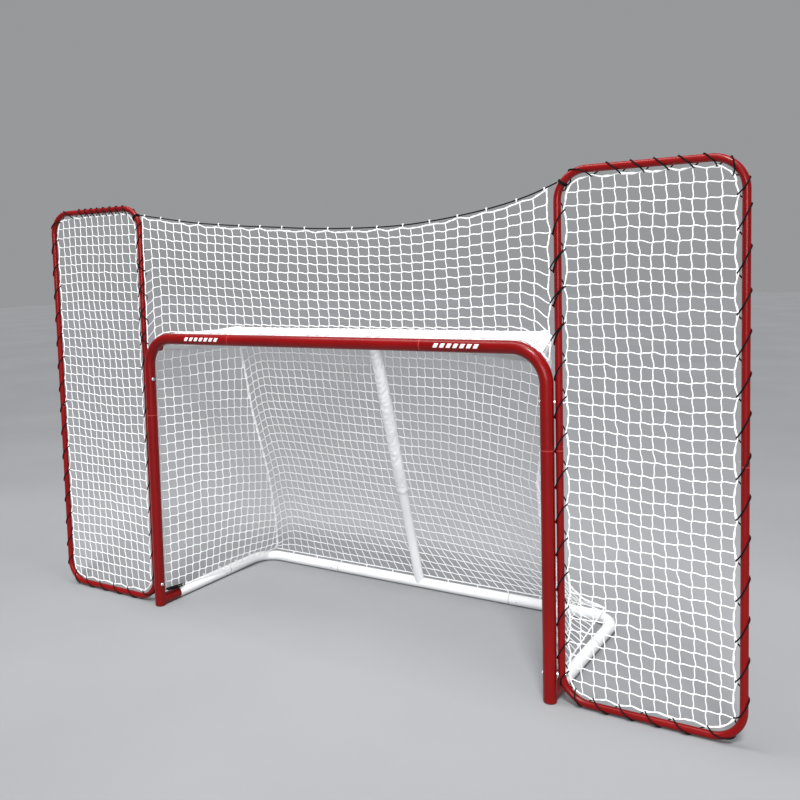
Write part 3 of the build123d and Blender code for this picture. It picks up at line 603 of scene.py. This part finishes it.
def nearest_loop(x, z):
    """Distance along the loop of the place that is nearest to a point, for points near the loop."""
    half_w, half_h = PANEL_WIDTH / 2 - PANEL_BEND, PANEL_HEIGHT / 2 - PANEL_BEND
    if abs(x) > half_w and abs(z) > half_h:
        angle = math.atan2(abs(x) - half_w, abs(z) - half_h)
        if z > 0:
            return LOOP_RUNS[0] + PANEL_BEND * angle if x > 0 else LOOP_LENGTH - PANEL_BEND * angle
        return RIGHT_END - PANEL_BEND * angle if x > 0 else RIGHT_END + LOOP_RUNS[0] + PANEL_BEND * angle
    if PANEL_WIDTH / 2 - abs(x) < PANEL_HEIGHT / 2 - abs(z):
        return TOP_END + half_h - z if x > 0 else BOTTOM_END + half_h + z
    return x + half_w if z > 0 else RIGHT_END + half_w - x


def finish_net(builder, name, node):
    """Makes the net's piece in place of the model's net node."""
    piece = builder.make(name, NET, "net_cord", replaces=[node])


def make_panel_net(side):
    """A net whose border is pulled to the tube at each turn of the lacing."""
    panel, columns, rows = PANELS[side], PANEL_COLUMNS, PANEL_ROWS
    half_w, half_h = PANEL_WIDTH / 2 - BORDER_FAR, PANEL_HEIGHT / 2 - BORDER_FAR
    random = np.random.default_rng(11 if side == "left" else 12)
    grid = np.zeros((rows + 1, columns + 1, 3))
    for r, c in np.ndindex(rows + 1, columns + 1):
        x, z = half_w * (2 * c / columns - 1), half_h * (2 * r / rows - 1)
        edge = min(c, columns - c, r, rows - r)
        slack = min(edge, 3) / 3
        x += slack * (0.009 * drift(x * 4, z * 3, 1) + 0.0020 * random.normal())
        z += slack * (0.012 * drift(x * 3, z * 2.5, 2) + 0.0020 * random.normal())
        y = 0.006 * slack * drift(x * 3, z * 3, 4)
        near = nearest_loop(x, z)
        place, out = loop_point(near)
        inset = float((place - np.array([x, z])) @ out)
        border = border_inset(panel, near)
        move = (inset - border) * max(0.0, 1 - edge / 2.0)
        if edge == 0 or border < inset:
            x, z = np.array([x, z]) + out * move * (1 if edge == 0 else NEXT_SHARE)
        grid[r, c] = panel_place(panel, x, z, y)
    builder = Builder()
    weave_net(builder, shifted(grid))
    places = [step * BORDER_STEP for step in range(int(LOOP_LENGTH / BORDER_STEP))]
    border = [beside_tube(panel, at, -border_inset(panel, at)) for at in places]
    builder.tube(shifted(border + border[:1]), BORDER_CORD / 2, normal=(0, 1, 0))
    finish_net(builder, f"{side}_panel_mesh", f"{side}_panel_net")


# One turn of lacing: share of the turn, distance out from the tube's axis, distance behind it
TURN = [
    (0.00, 0.0149, 0.0000),
    (0.10, 0.0108, -0.0106),
    (0.28, 0.0000, -0.0150),
    (0.44, -0.0112, -0.0110),
    (0.55, -0.0210, -0.0042),
    (CATCH_SHARE, -0.0262, 0.0000),
    (0.64, -0.0210, 0.0042),
    (0.74, -0.0112, 0.0110),
    (0.86, 0.0000, 0.0150),
    (0.95, 0.0108, 0.0106),
]
# An end of the lacing: distance past its last turn, distance out from the tube's axis, distance behind it
LACE_TAIL = [
    (0.008, 0.0020, 0.0152),
    (0.016, -0.0125, 0.0120),
    (0.024, -0.0185, 0.0040),
    (0.036, -0.0190, -0.0060),
]


def make_lacing(side):
    """The cord that winds round a panel's tube and through its net, and is tucked away at both ends."""
    panel = PANELS[side]
    turns = panel["turns"]
    first, last = [
        [beside_tube(panel, at + towards * reach, out_by, behind) for reach, out_by, behind in LACE_TAIL]
        for at, towards in ((turns[0], -1), (turns[-1], 1))
    ]
    points = first[::-1]
    for start, end in zip(turns, turns[1:]):
        for share, out_by, behind in TURN:
            points.append(beside_tube(panel, start + share * (end - start), out_by, behind))
    builder = Builder()
    builder.cord(points + last, 3, LACE_CORD)
    builder.make(f"{side}_lacing_cord", BLACK, "black_cord", replaces=[f"{side}_panel_lacing"])


for panel in PANELS.values():
    panel["turns"] = lacing_turns(panel)
    panel["catches"] = [a + CATCH_SHARE * (b - a) for a, b in zip(panel["turns"], panel["turns"][1:])]
for side in PANELS:
    make_panel_net(side)
    make_lacing(side)


# -------- the rope and the backstop net
ROPE_ROUTE = [
    (-0.979, 1.801), (-0.925, 1.793), (-0.868, 1.784), (-0.799, 1.773), (-0.731, 1.762), (-0.665, 1.752),
    (-0.594, 1.743), (-0.522, 1.736), (-0.453, 1.729), (-0.380, 1.722), (-0.309, 1.716), (-0.236, 1.711),
    (-0.165, 1.705), (-0.092, 1.699), (-0.020, 1.694), (0.053, 1.690), (0.125, 1.687), (0.199, 1.685),
    (0.271, 1.684), (0.344, 1.6845), (0.415, 1.687), (0.485, 1.693), (0.552, 1.6995), (0.620, 1.708),
    (0.689, 1.7185), (0.755, 1.730), (0.822, 1.745), (0.880, 1.761), (0.933, 1.779), (0.979, 1.7975),
]
BACKSTOP_Y = 0.008
BACKSTOP_LEFT, BACKSTOP_RIGHT = -(PANEL_X - 0.025), PANEL_X - 0.034
BACKSTOP_COLUMNS, BACKSTOP_ROWS = 40, 12
BACKSTOP_LIMIT = PANEL_X - 0.0225  # furthest out of the net's border, beside a panel's tube
BACKSTOP_PULL, BACKSTOP_REACH = 0.011, 0.045  # how far a turn pulls the border out, and how far along it
FOOT_GAP = 0.006  # from the mouth's frame to the net's lower border
ROPE_TIES = 17
TIE_CORD = 0.0034
TIE_DEEP, TIE_HIGH, TIE_LEAN = 0.0052, 0.0070, 0.006  # half axes of a tie's loop, and its lean along the rope
TIE_DROP = 0.0025  # from the rope's line to the middle of a tie
TIE_INSET = 0.012  # from the net's sides to the first and last tie


def make_rope():
    """The header rope, which hangs between the two panels."""
    data = bpy.data.curves.new("header_rope", "CURVE")
    data.dimensions = "3D"
    data.bevel_depth = ROPE_CORD / 2
    data.bevel_resolution = 4
    data.resolution_u = 6
    data.use_fill_caps = True
    spline = data.splines.new("NURBS")
    spline.points.add(len(ROPE_ROUTE) - 1)
    for point, (x, z) in zip(spline.points, ROPE_ROUTE):
        point.co = (*goal_point(x, BACKSTOP_Y, z), 1)
    spline.order_u = 3
    spline.use_endpoint_u = True
    data.materials.append(BLACK)
    rope = bpy.data.objects.new("header_rope", data)
    scene.collection.objects.link(rope)
    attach(rope, "goal")
    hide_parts("backstop_rope")
    runs = [math.dist(a, b) for a, b in zip(ROPE_ROUTE, ROPE_ROUTE[1:])]
    start = goal_point(ROPE_ROUTE[0][0], BACKSTOP_Y, ROPE_ROUTE[0][1])


def rope_height(x):
    """Height of the rope's line above a place on the mouth's width."""
    xs, zs = zip(*ROPE_ROUTE)
    return float(np.interp(x, xs, zs))


def frame_top(x, clear):
    """Height of a line that follows the top of the frame at a clearance from its axis."""
    past = max(0.0, abs(x) - BEND_MIDDLE_X)
    return BEND_MIDDLE_Z + math.sqrt(max(0.0, (FRAME_BEND + clear) ** 2 - past**2))


OUTER_LOW, OUTER_HIGH = 1.22, 1.76  # the stretch of a panel's tube that the backstop net is tied to
OUTER_RISE = 0.011  # of a right turn over the panel's own
OUTER_SHARE = 0.55  # of the panel's pitch, that a left turn is below the panel's own


def outer_turns(side):
    """Heights of the turns that hold the backstop net, set to cross or to follow the panel's own turns."""
    panel, turns = PANELS[side], []
    for start, end in zip(panel["turns"], panel["turns"][1:]):
        (x, z), out = loop_point(start)
        height = panel_place(panel, x, z)[2]
        on_inner = abs(out[1]) < 0.01 and (x < 0) == (side == "right")
        if on_inner and OUTER_LOW < height < OUTER_HIGH:
            turns.append(height + OUTER_RISE if side == "right" else height - OUTER_SHARE * (end - start))
    return sorted(turns)


def make_backstop_net():
    """The net between the mouth's frame and the rope, tied to the rope and pulled to the panels."""
    columns, rows = BACKSTOP_COLUMNS, BACKSTOP_ROWS
    random = np.random.default_rng(21)
    grid = np.zeros((rows + 1, columns + 1, 3))
    width = BACKSTOP_RIGHT - BACKSTOP_LEFT
    for r, c in np.ndindex(rows + 1, columns + 1):
        v = r / rows
        x = BACKSTOP_LEFT + width * c / columns
        slack = min(r, rows - r, 2) / 2 * min(c, columns - c, 2) / 2
        phase = abs((c / columns * ROPE_TIES) % 1 - 0.5) * 2
        droop = 0.006 + 0.011 * (1 - phase**2) * max(0.0, 1 - (rows - r) / 2)
        foot, top = frame_top(x, FRAME_R + FOOT_GAP), rope_height(x) - droop
        z = foot + (top - foot) * v
        z += slack * (0.007 * drift(x * 3, v * 3, 5) + 0.001 * random.normal())
        x += slack * (0.007 * drift(x * 4, v * 3, 6) + 0.001 * random.normal())
        if c in (0, columns):
            turns = outer_turns("left" if c == 0 else "right")
            nearest = min(abs(z - height) for height in turns)
            x += math.copysign(BACKSTOP_PULL * max(0.0, 1 - nearest / BACKSTOP_REACH), x)
            x = min(max(x, -BACKSTOP_LIMIT), BACKSTOP_LIMIT)
        y = BACKSTOP_Y + 0.012 * slack * drift(x * 2, v * 2, 8)
        grid[r, c] = (x, y, z)
    builder = Builder()
    weave_net(builder, shifted(grid))
    for edge in (grid[0], grid[-1], grid[:, 0], grid[:, -1]):
        builder.cord(edge, 3, BORDER_CORD, normal=(0, 1, 0))
    for k in range(ROPE_TIES + 1):
        x = BACKSTOP_LEFT + width * k / ROPE_TIES
        x = min(max(x, BACKSTOP_LEFT + TIE_INSET), BACKSTOP_RIGHT - TIE_INSET)
        z = rope_height(x)
        loop = []
        for step in range(13):
            turn = 2 * math.pi * step / 12
            y_shift, z_shift = TIE_DEEP * math.sin(turn), TIE_HIGH * math.cos(turn)
            loop.append((x + TIE_LEAN * step / 12, BACKSTOP_Y + y_shift, z - TIE_DROP + z_shift))
        builder.tube(shifted(loop), TIE_CORD / 2, 6, normal=(1, 0, 0))
    finish_net(builder, "backstop_mesh", "backstop_net")


# One turn of the backstop's lacing, going up: share of the turn, distance from the panel's tube towards the
# goal's middle, distance behind the tube
OUTER_TURN = [
    (0.00, 0.0265, -0.0030),
    (0.06, 0.0215, -0.0090),
    (0.15, 0.0120, -0.0158),
    (0.27, 0.0000, -0.0186),
    (0.40, -0.0130, -0.0140),
    (0.50, -0.0188, 0.0000),
    (0.62, -0.0130, 0.0140),
    (0.75, 0.0000, 0.0186),
    (0.87, 0.0130, 0.0140),
    (0.95, 0.0220, 0.0050),
]


def make_backstop_lacing(side):
    """The cord that holds a side of the backstop net to the panel's tube."""
    sign, turns, points = -1 if side == "left" else 1, outer_turns(side), []
    for low, high in zip(turns, turns[1:]):
        for share, inwards, behind in OUTER_TURN:
            points.append((sign * (PANEL_X - inwards), PANEL_Y + behind, low + share * (high - low)))
    builder = Builder()
    builder.cord(points, 3, LACE_CORD)
    builder.make(f"{side}_backstop_cord", BLACK, "black_cord", replaces=[f"{side}_backstop_lacing"])


make_rope()
make_backstop_net()
for side in PANELS:
    make_backstop_lacing(side)


# -------- the goal's own net
# Y and Z of the back net's upper and lower borders
BACK_TOP = (0.4475, 1.228)
BACK_FOOT = (0.808, 0.056)
BACK_COLUMNS, BACK_ROWS = 40, 28
FRONT_Y = 0.032  # the side nets' front border, behind the posts
SIDE_FOOT_Z, SIDE_TOP_Z = 0.054, 1.176
SIDE_ROWS = 26
SEAM_DROP = 0.055  # how much lower than at the post a side net's rows end
SEAM_TWIST, SEAM_CORD = 0.0034, 0.0056  # radius of the seam's two-strand twist, and a strand's thickness


def seam_x(seam, z):
    """Distance of a seam from the goal's middle at a height."""
    heights, places = zip(*seam)
    return float(np.interp(z, heights, places))


def back_y(z):
    """Y of the leaning back net at a height."""
    (top_y, top_z), (foot_y, foot_z) = BACK_TOP, BACK_FOOT
    return top_y + (top_z - z) * (foot_y - top_y) / (top_z - foot_z)


def make_back_net():
    """The net from the shelf down to the rear of the base. Its meshes sink towards both seams."""
    columns, rows = BACK_COLUMNS, BACK_ROWS
    random = np.random.default_rng(31)
    grid = np.zeros((rows + 1, columns + 1, 3))
    for r, c in np.ndindex(rows + 1, columns + 1):
        v, u = r / rows, c / columns
        z = BACK_FOOT[1] + (BACK_TOP[1] - BACK_FOOT[1]) * v
        x = -seam_x(LEFT_SEAM, z) * (1 - u) + seam_x(RIGHT_SEAM, z) * u
        slack = min(r, rows - r, 3) / 3
        dip = 0.060 * max(0.0, 1 - c / 3.8) ** 2 + 0.075 * math.exp(-(columns - c) / 6.0)
        z -= dip * min(r, rows - r, 2) / 2
        edge = min(c, columns - c, 2) / 2
        z += slack * edge * (0.008 * drift(x * 3, z * 3, 9) + 0.001 * random.normal())
        x += slack * edge * (0.007 * drift(x * 3, z * 3, 10) + 0.001 * random.normal())
        y = back_y(z) + slack * edge * 0.010 * drift(x * 2.2, z * 2.2, 12)
        grid[r, c] = (x, y, max(z, BACK_FOOT[1]))
    builder = Builder()
    weave_net(builder, shifted(grid))
    for edge in (grid[0], grid[-1]):
        builder.cord(edge, 2, BORDER_CORD, normal=(0, 1, 0))
    finish_net(builder, "goal_mesh_back", "goal_net_back")
    return grid


def make_side_net(side, sign, seam_line):
    """Meshes that run level from the post until they meet the slanting seam with the back net."""
    rows, seam_heights = SIDE_ROWS, seam_line[:, 2]
    random = np.random.default_rng(41 if side == "left" else 42)

    def rear_place(v):
        drop = SEAM_DROP * min(1.0, 5 * v, 5 * (1 - v))
        z = SIDE_FOOT_Z + (seam_heights[-1] - SIDE_FOOT_Z) * v - drop
        return np.array([np.interp(z, seam_heights, seam_line[:, k]) for k in range(3)])

    def front_place(v):
        z = SIDE_FOOT_Z + (SIDE_TOP_Z - SIDE_FOOT_Z) * v
        bend = max(0.0, z - BEND_MIDDLE_Z)
        x = POST_X - FRAME_BEND * (1 - math.sqrt(max(0.0, 1 - (bend / FRAME_BEND) ** 2)))
        return np.array([sign * x, FRONT_Y, z])

    def depth(v):
        front, rear = front_place(v), rear_place(v)
        return math.dist(front[:2], rear[:2])

    columns = int(depth(0.0) / MESH) + 1
    grid = np.zeros((rows + 1, columns + 1, 3))
    keep = np.zeros((rows + 1, columns + 1), bool)
    for r in range(rows + 1):
        v = r / rows
        front, rear, far = front_place(v), rear_place(v), depth(v)
        for c in range(columns + 1):
            reach = c * MESH
            keep[r, c] = reach - MESH < far - 0.002
            t = min(1.0, reach / far)
            place = front * (1 - t) + rear * t
            place[2] = front[2] + (rear[2] - front[2]) * t ** (3 - 2 * v)
            slack = min(r, rows - r, 3) / 3 * min(1.0, 4 * t * (1 - t))
            hang = math.sin(math.pi * t) * (1 - v) * v * 4
            place[2] += 0.012 * hang + 0.006 * slack * drift(t * 5, v * 7, 13)
            place[0] += sign * -0.020 * hang + 0.008 * slack * drift(t * 4, v * 5, 14)
            place += slack * 0.001 * random.normal(size=3)
            grid[r, c] = place
    builder = Builder()
    weave_net(builder, shifted(grid), keep)
    for line in (grid[0][keep[0]], grid[-1][keep[-1]], grid[:, 0]):
        builder.cord(line, 2, BORDER_CORD)
    for turn in (0.0, math.pi):
        strand = []
        for k in range(4 * rows + 1):
            swing = k * math.pi / 4 + turn
            twist = np.array([SEAM_TWIST * math.sin(swing), SEAM_TWIST * math.cos(swing), 0])
            strand.append(rear_place(k / (4 * rows)) + twist)
        builder.cord(strand, 2, SEAM_CORD, 6)
    threaded = [front_place(k / 30) + np.array([0, 0.009 + 0.003 * math.sin(k * 1.7), 0]) for k in range(31)]
    builder.cord(threaded, 3, NET_CORD, 6)
    finish_net(builder, f"goal_mesh_{side}", f"goal_net_{side}")


TOP_COLUMNS, TOP_ROWS = 42, 12
TOP_NET_RISE = 0.0205  # of the net's front border over the crossbar's axis
OVER_SLEEVE = 0.0325  # from a shelf tube's axis to the net that lies on its sleeve
ARM_OVERLAP = 0.020  # how far past an arm's axis the net reaches
ARM_FALL = 0.030  # the net falls off past an arm's axis by the square of the distance over this
CORNER_REACH = 0.117  # from the middle of the shelf's rear bend to the net's corner


def round_corner(x, y, y_shift):
    """Draws a point of the top net in to the shelf's rounded rear corner."""
    past_x, past_y = abs(x) - (SHELF_X - SHELF_BEND), y + y_shift - (SHELF_Y - SHELF_BEND)
    reach = math.hypot(past_x, past_y)
    if min(past_x, past_y) <= 0 or reach <= CORNER_REACH:
        return x, y_shift
    share = 1 - CORNER_REACH / reach
    return x - math.copysign(past_x * share, x), y_shift - past_y * share


def make_top_net():
    """The net from the crossbar back, laid over the sleeves of the shelf's arms and rear."""
    columns, rows = TOP_COLUMNS, TOP_ROWS
    profile_y = [0.0175, 0.395, 0.415, 0.436, 0.4475]
    rear_z = [SHELF_Z + 0.0295, SHELF_Z + OVER_SLEEVE, SHELF_Z + 0.0250, SHELF_Z - 0.002]
    profile_z = [BAR_Z + TOP_NET_RISE, *rear_z]
    lengths = np.concatenate([[0], np.cumsum(np.hypot(np.diff(profile_y), np.diff(profile_z)))])
    grid = np.zeros((rows + 1, columns + 1, 3))
    for r in range(rows + 1):
        v = lengths[-1] * r / rows
        y, level = np.interp(v, lengths, profile_y), np.interp(v, lengths, profile_z)
        along_arm = min(1.0, y / SHELF_Y)
        arm_x = ELBOW_X + (SHELF_X - ELBOW_X) * along_arm
        arm_z = ELBOW_Z + (SHELF_Z - ELBOW_Z) * along_arm + OVER_SLEEVE
        for c in range(columns + 1):
            u = 2 * c / columns - 1
            x = (arm_x + ARM_OVERLAP) * u
            slack = min(r, max(0, rows - 2 - r), 2) / 2 * min(c, columns - c, 3) / 3
            z = level - 0.009 * slack * (1 - u * u)
            if abs(x) < arm_x - 0.03:
                z = min(z, frame_top(x, TOP_NET_RISE) + 0.3 * (y - profile_y[0]))
            else:
                z = arm_z - max(0.0, abs(x) - arm_x) ** 2 / ARM_FALL
            x += slack * 0.006 * drift(u * 3, v * 7, 15)
            y_shift = slack * 0.006 * drift(u * 3, v * 7, 16)
            x, y_shift = round_corner(x, y, y_shift)
            grid[r, c] = (x, y + y_shift, z + 0.004 * slack * drift(u * 5, v * 7, 17))
    builder = Builder()
    weave_net(builder, shifted(grid))
    for edge in (grid[0], grid[-1], grid[:, 0], grid[:, -1]):
        builder.cord(edge, 2, BORDER_CORD)
    finish_net(builder, "goal_mesh_top", "goal_net_top")


back_grid = make_back_net()
make_side_net("left", -1, back_grid[:, 0])
make_side_net("right", 1, back_grid[:, -1])
make_top_net()


# -------- wrinkled sleeves
SLEEVE_SIDES = 56
SLEEVE_R, SLEEVE_LOW_R, SLEEVE_HIGH_R = 0.0262, 0.0236, 0.0296  # mean, and the limits of the folds
SLEEVE_INNER_R = 0.0228  # of the turned-in ends, close to the tube's own
SLEEVE_HEM = 0.0012  # how much narrower its first and last rings are
FLARE_REACH = 0.018  # how far from its start a sleeve is flared
SHELF_WRINKLE, POST_WRINKLE, POST_FLARE = 0.0036, 0.0052, 0.010
ARM_START = 0.029  # from the elbow to the start of a shelf sleeve
HALF_SEAM = 0.0005  # from the goal's middle to the end of a shelf sleeve
POST_COVER_TOP, POST_COVER_FOOT = 0.024, 0.770  # down the centre post from the shelf's axis
ARC_STEPS = 12


def rounded_path(points, bend, step=0.004):
    """Points along straight runs joined by arcs of one radius."""
    points = [Vector(point) for point in points]
    path = [points[0]]
    for before, at, after in zip(points, points[1:], points[2:]):
        arrive, leave = (at - before).normalized(), (after - at).normalized()
        turn = arrive.angle(leave)
        cut = bend * math.tan(turn / 2)
        start = at - arrive * cut
        centre = start + (leave - arrive * leave.dot(arrive)).normalized() * bend
        axis = arrive.cross(leave).normalized()
        for k in range(ARC_STEPS + 1):
            path.append(centre + Matrix.Rotation(turn * k / ARC_STEPS, 3, axis) @ (start - centre))
    path.append(points[-1])
    fine = [path[0]]
    for a, b in zip(path, path[1:]):
        count = max(1, int((b - a).length / step))
        fine += [a.lerp(b, k / count) for k in range(1, count + 1)]
    return fine


def sleeve_radius(turn, at, wrinkle, flare):
    """Radius at an angle round a sleeve and a distance along it: folds, finer creases and a slow twist."""
    cx, cy = math.cos(turn), math.sin(turn)
    fold = noise.noise(Vector((cx * 1.1, cy * 1.1, at * 62 + 3 * cy)))
    crease = noise.noise(Vector((cx * 2.4 + 9, cy * 2.4, at * 150 + cx * 4)))
    twist = noise.noise(Vector((cx * 1.3 + 20, cy * 1.3, at * 14)))
    radius = SLEEVE_R + wrinkle * (0.55 * fold + 0.3 * crease + 0.4 * twist)
    radius += flare * math.exp(-at / FLARE_REACH) * (0.8 + 0.4 * math.sin(5 * turn))
    return min(max(radius, SLEEVE_LOW_R), SLEEVE_HIGH_R + flare)


def make_sleeve(name, points, bend, replaces, wrinkle, flare=0.0):
    """A cloth tube whose folds run round it, turned in at both ends."""
    path = np.array([list(point) for point in rounded_path(points, bend)])
    lengths = np.concatenate([[0], np.cumsum(np.linalg.norm(np.diff(path, axis=0), axis=1))])
    tangent = unit(np.gradient(path, axis=0))
    side = rolling_sides(tangent)
    up = np.cross(side, tangent)
    last, sides = len(lengths) - 1, SLEEVE_SIDES
    turns = [2 * math.pi * s / sides for s in range(sides)]

    def ring(k, radii):
        around = [side[k] * math.cos(turn) + up[k] * math.sin(turn) for turn in turns]
        return [path[k] + out * radius for out, radius in zip(around, radii)]

    rings = [ring(0, [SLEEVE_INNER_R] * sides)]
    for k, at in enumerate(lengths):
        hem = SLEEVE_HEM if k in (0, last) else 0.0
        rings.append(ring(k, [sleeve_radius(turn, at, wrinkle, flare) - hem for turn in turns]))
    rings.append(ring(last, [SLEEVE_INNER_R] * sides))
    faces = []
    for k in range(len(rings)):
        here, there = k * sides, (k + 1) % len(rings) * sides
        for s in range(sides):
            nxt = (s + 1) % sides
            faces.append((here + s, here + nxt, there + nxt, there + s))
    builder = Builder()
    builder.add(np.array(rings), faces)
    piece = builder.make(name, SLEEVE, "sleeve_fabric", replaces=replaces)


def shelf_path(sign):
    """A shelf sleeve's line: along the arm from the elbow, and along the rear to the goal's middle."""
    elbow = goal_point(sign * ELBOW_X, 0, ELBOW_Z)
    corner = goal_point(sign * SHELF_X, SHELF_Y, SHELF_Z)
    start = elbow + (corner - elbow).normalized() * ARM_START
    return [start, corner, goal_point(sign * HALF_SEAM, SHELF_Y, SHELF_Z)]


make_sleeve("left_shelf_cover", shelf_path(-1), SHELF_BEND, ["left_shelf_sleeve"], SHELF_WRINKLE)
make_sleeve("right_shelf_cover", shelf_path(1), SHELF_BEND, ["right_shelf_sleeve"], SHELF_WRINKLE)
tee, foot = goal_point(0, SHELF_Y, SHELF_Z), goal_point(0, BASE_DEPTH, BASE_Z)
down_post = (foot - tee).normalized()
post_path = [tee + down_post * POST_COVER_TOP, tee + down_post * POST_COVER_FOOT]
make_sleeve("centre_post_cover", post_path, SHELF_BEND, ["centre_post_sleeve"], POST_WRINKLE, POST_FLARE)


# -------- label stripes on the crossbar
LABEL_BARS = 7
BAR_ARC, BAR_TILT = math.radians(38), math.radians(4)  # a bar's height round the tube, and its rise
BAR_SHARE, BAR_SLANT = 0.62, 0.30  # a bar's width and its slant, in pitches
BAR_ROWS, BAR_COLUMNS = 8, 3
LABEL_LIFT = 0.00025  # thickness of the film


def bar_faces(rows, columns):
    """Faces of a closed film whose two layers each have rows by columns of faces."""
    faces, size = [], (rows + 1) * (columns + 1)
    for r in range(rows):
        for c in range(columns):
            a = r * (columns + 1) + c
            b, d = a + 1, a + columns + 1
            faces.append((size + a, size + b, size + d + 1, size + d))
            faces.append((a, d, d + 1, b))
    rim = list(range(columns + 1))
    rim += [(r + 1) * (columns + 1) + columns for r in range(rows)]
    rim += [rows * (columns + 1) + c for c in range(columns - 1, -1, -1)]
    rim += [r * (columns + 1) for r in range(rows - 1, 0, -1)]
    return faces + [(a, b, size + b, size + a) for a, b in zip(rim, rim[1:] + rim[:1])]


def make_label(name, start_x, end_x):
    """A row of slanting bars printed on the front of the crossbar."""
    builder = Builder()
    pitch = (end_x - start_x) / LABEL_BARS
    for k in range(LABEL_BARS):
        verts = []
        for layer in (0.0, 1.0):
            radius = FRAME_R + LABEL_LIFT * (0.2 + layer)
            for r in range(BAR_ROWS + 1):
                angle = -BAR_ARC / 2 + BAR_ARC * r / BAR_ROWS + BAR_TILT
                for c in range(BAR_COLUMNS + 1):
                    across = pitch * BAR_SHARE * c / BAR_COLUMNS + pitch * BAR_SLANT * r / BAR_ROWS
                    y, z = -radius * math.cos(angle), BAR_Z + radius * math.sin(angle)
                    verts.append(list(goal_point(start_x + k * pitch + across, y, z)))
        builder.add(verts, bar_faces(BAR_ROWS, BAR_COLUMNS))
    builder.make(name, LABEL, "white_paint")


make_label("left_label_stripes", -0.702, -0.505)
make_label("right_label_stripes", 0.517, 0.703)


# -------- floor and light
FLOOR_HALF = 40
FLOOR_DROP = 0.0005  # keeps the floor off the faces that stand on it


def add_floor():
    mesh, far = bpy.data.meshes.new("floor"), FLOOR_HALF
    mesh.from_pydata([(-far, -far, 0), (far, -far, 0), (far, far, 0), (-far, far, 0)], [], [(0, 1, 2, 3)])
    material, shader = new_material("pale_floor", (0.275, 0.28, 0.29), roughness=0.85)
    vary_color(material, shader, (0.265, 0.27, 0.28), (0.285, 0.29, 0.30), scale=0.7)
    mesh.materials.append(material)
    floor = bpy.data.objects.new("floor", mesh)
    floor.location.z = -FLOOR_DROP
    scene.collection.objects.link(floor)


def add_light(kind, name, place, aim, energy, **settings):
    """A light at place that points at aim."""
    data = bpy.data.lights.new(name, kind)
    data.energy = energy
    for key, value in settings.items():
        setattr(data, key, value)
    light = bpy.data.objects.new(name, data)
    light.location = place
    light.rotation_euler = (Vector(aim) - Vector(place)).to_track_quat("-Z", "Y").to_euler()
    scene.collection.objects.link(light)


def add_world(color, strength):
    world = bpy.data.worlds.new("studio")
    scene.world = world
    world.use_nodes = True
    background = world.node_tree.nodes["Background"]
    background.inputs["Color"].default_value = (*color, 1)
    background.inputs["Strength"].default_value = strength


add_floor()
add_light("SUN", "overcast", (0, 0, 0), (-0.30, 0.70, -1.0), 3.3, angle=math.radians(14))
add_light("AREA", "overhead", (0, -0.8, 4.6), (0, 0, 0.8), 150, shape="RECTANGLE", size=5.0, size_y=1.4)
add_light("AREA", "front", (3.2, -6.0, 2.2), (0, 0, 0.9), 170, shape="RECTANGLE", size=3.0, size_y=2.0)
add_world(color=(0.60, 0.61, 0.63), strength=0.52)
scene.view_settings.view_transform = "Standard"
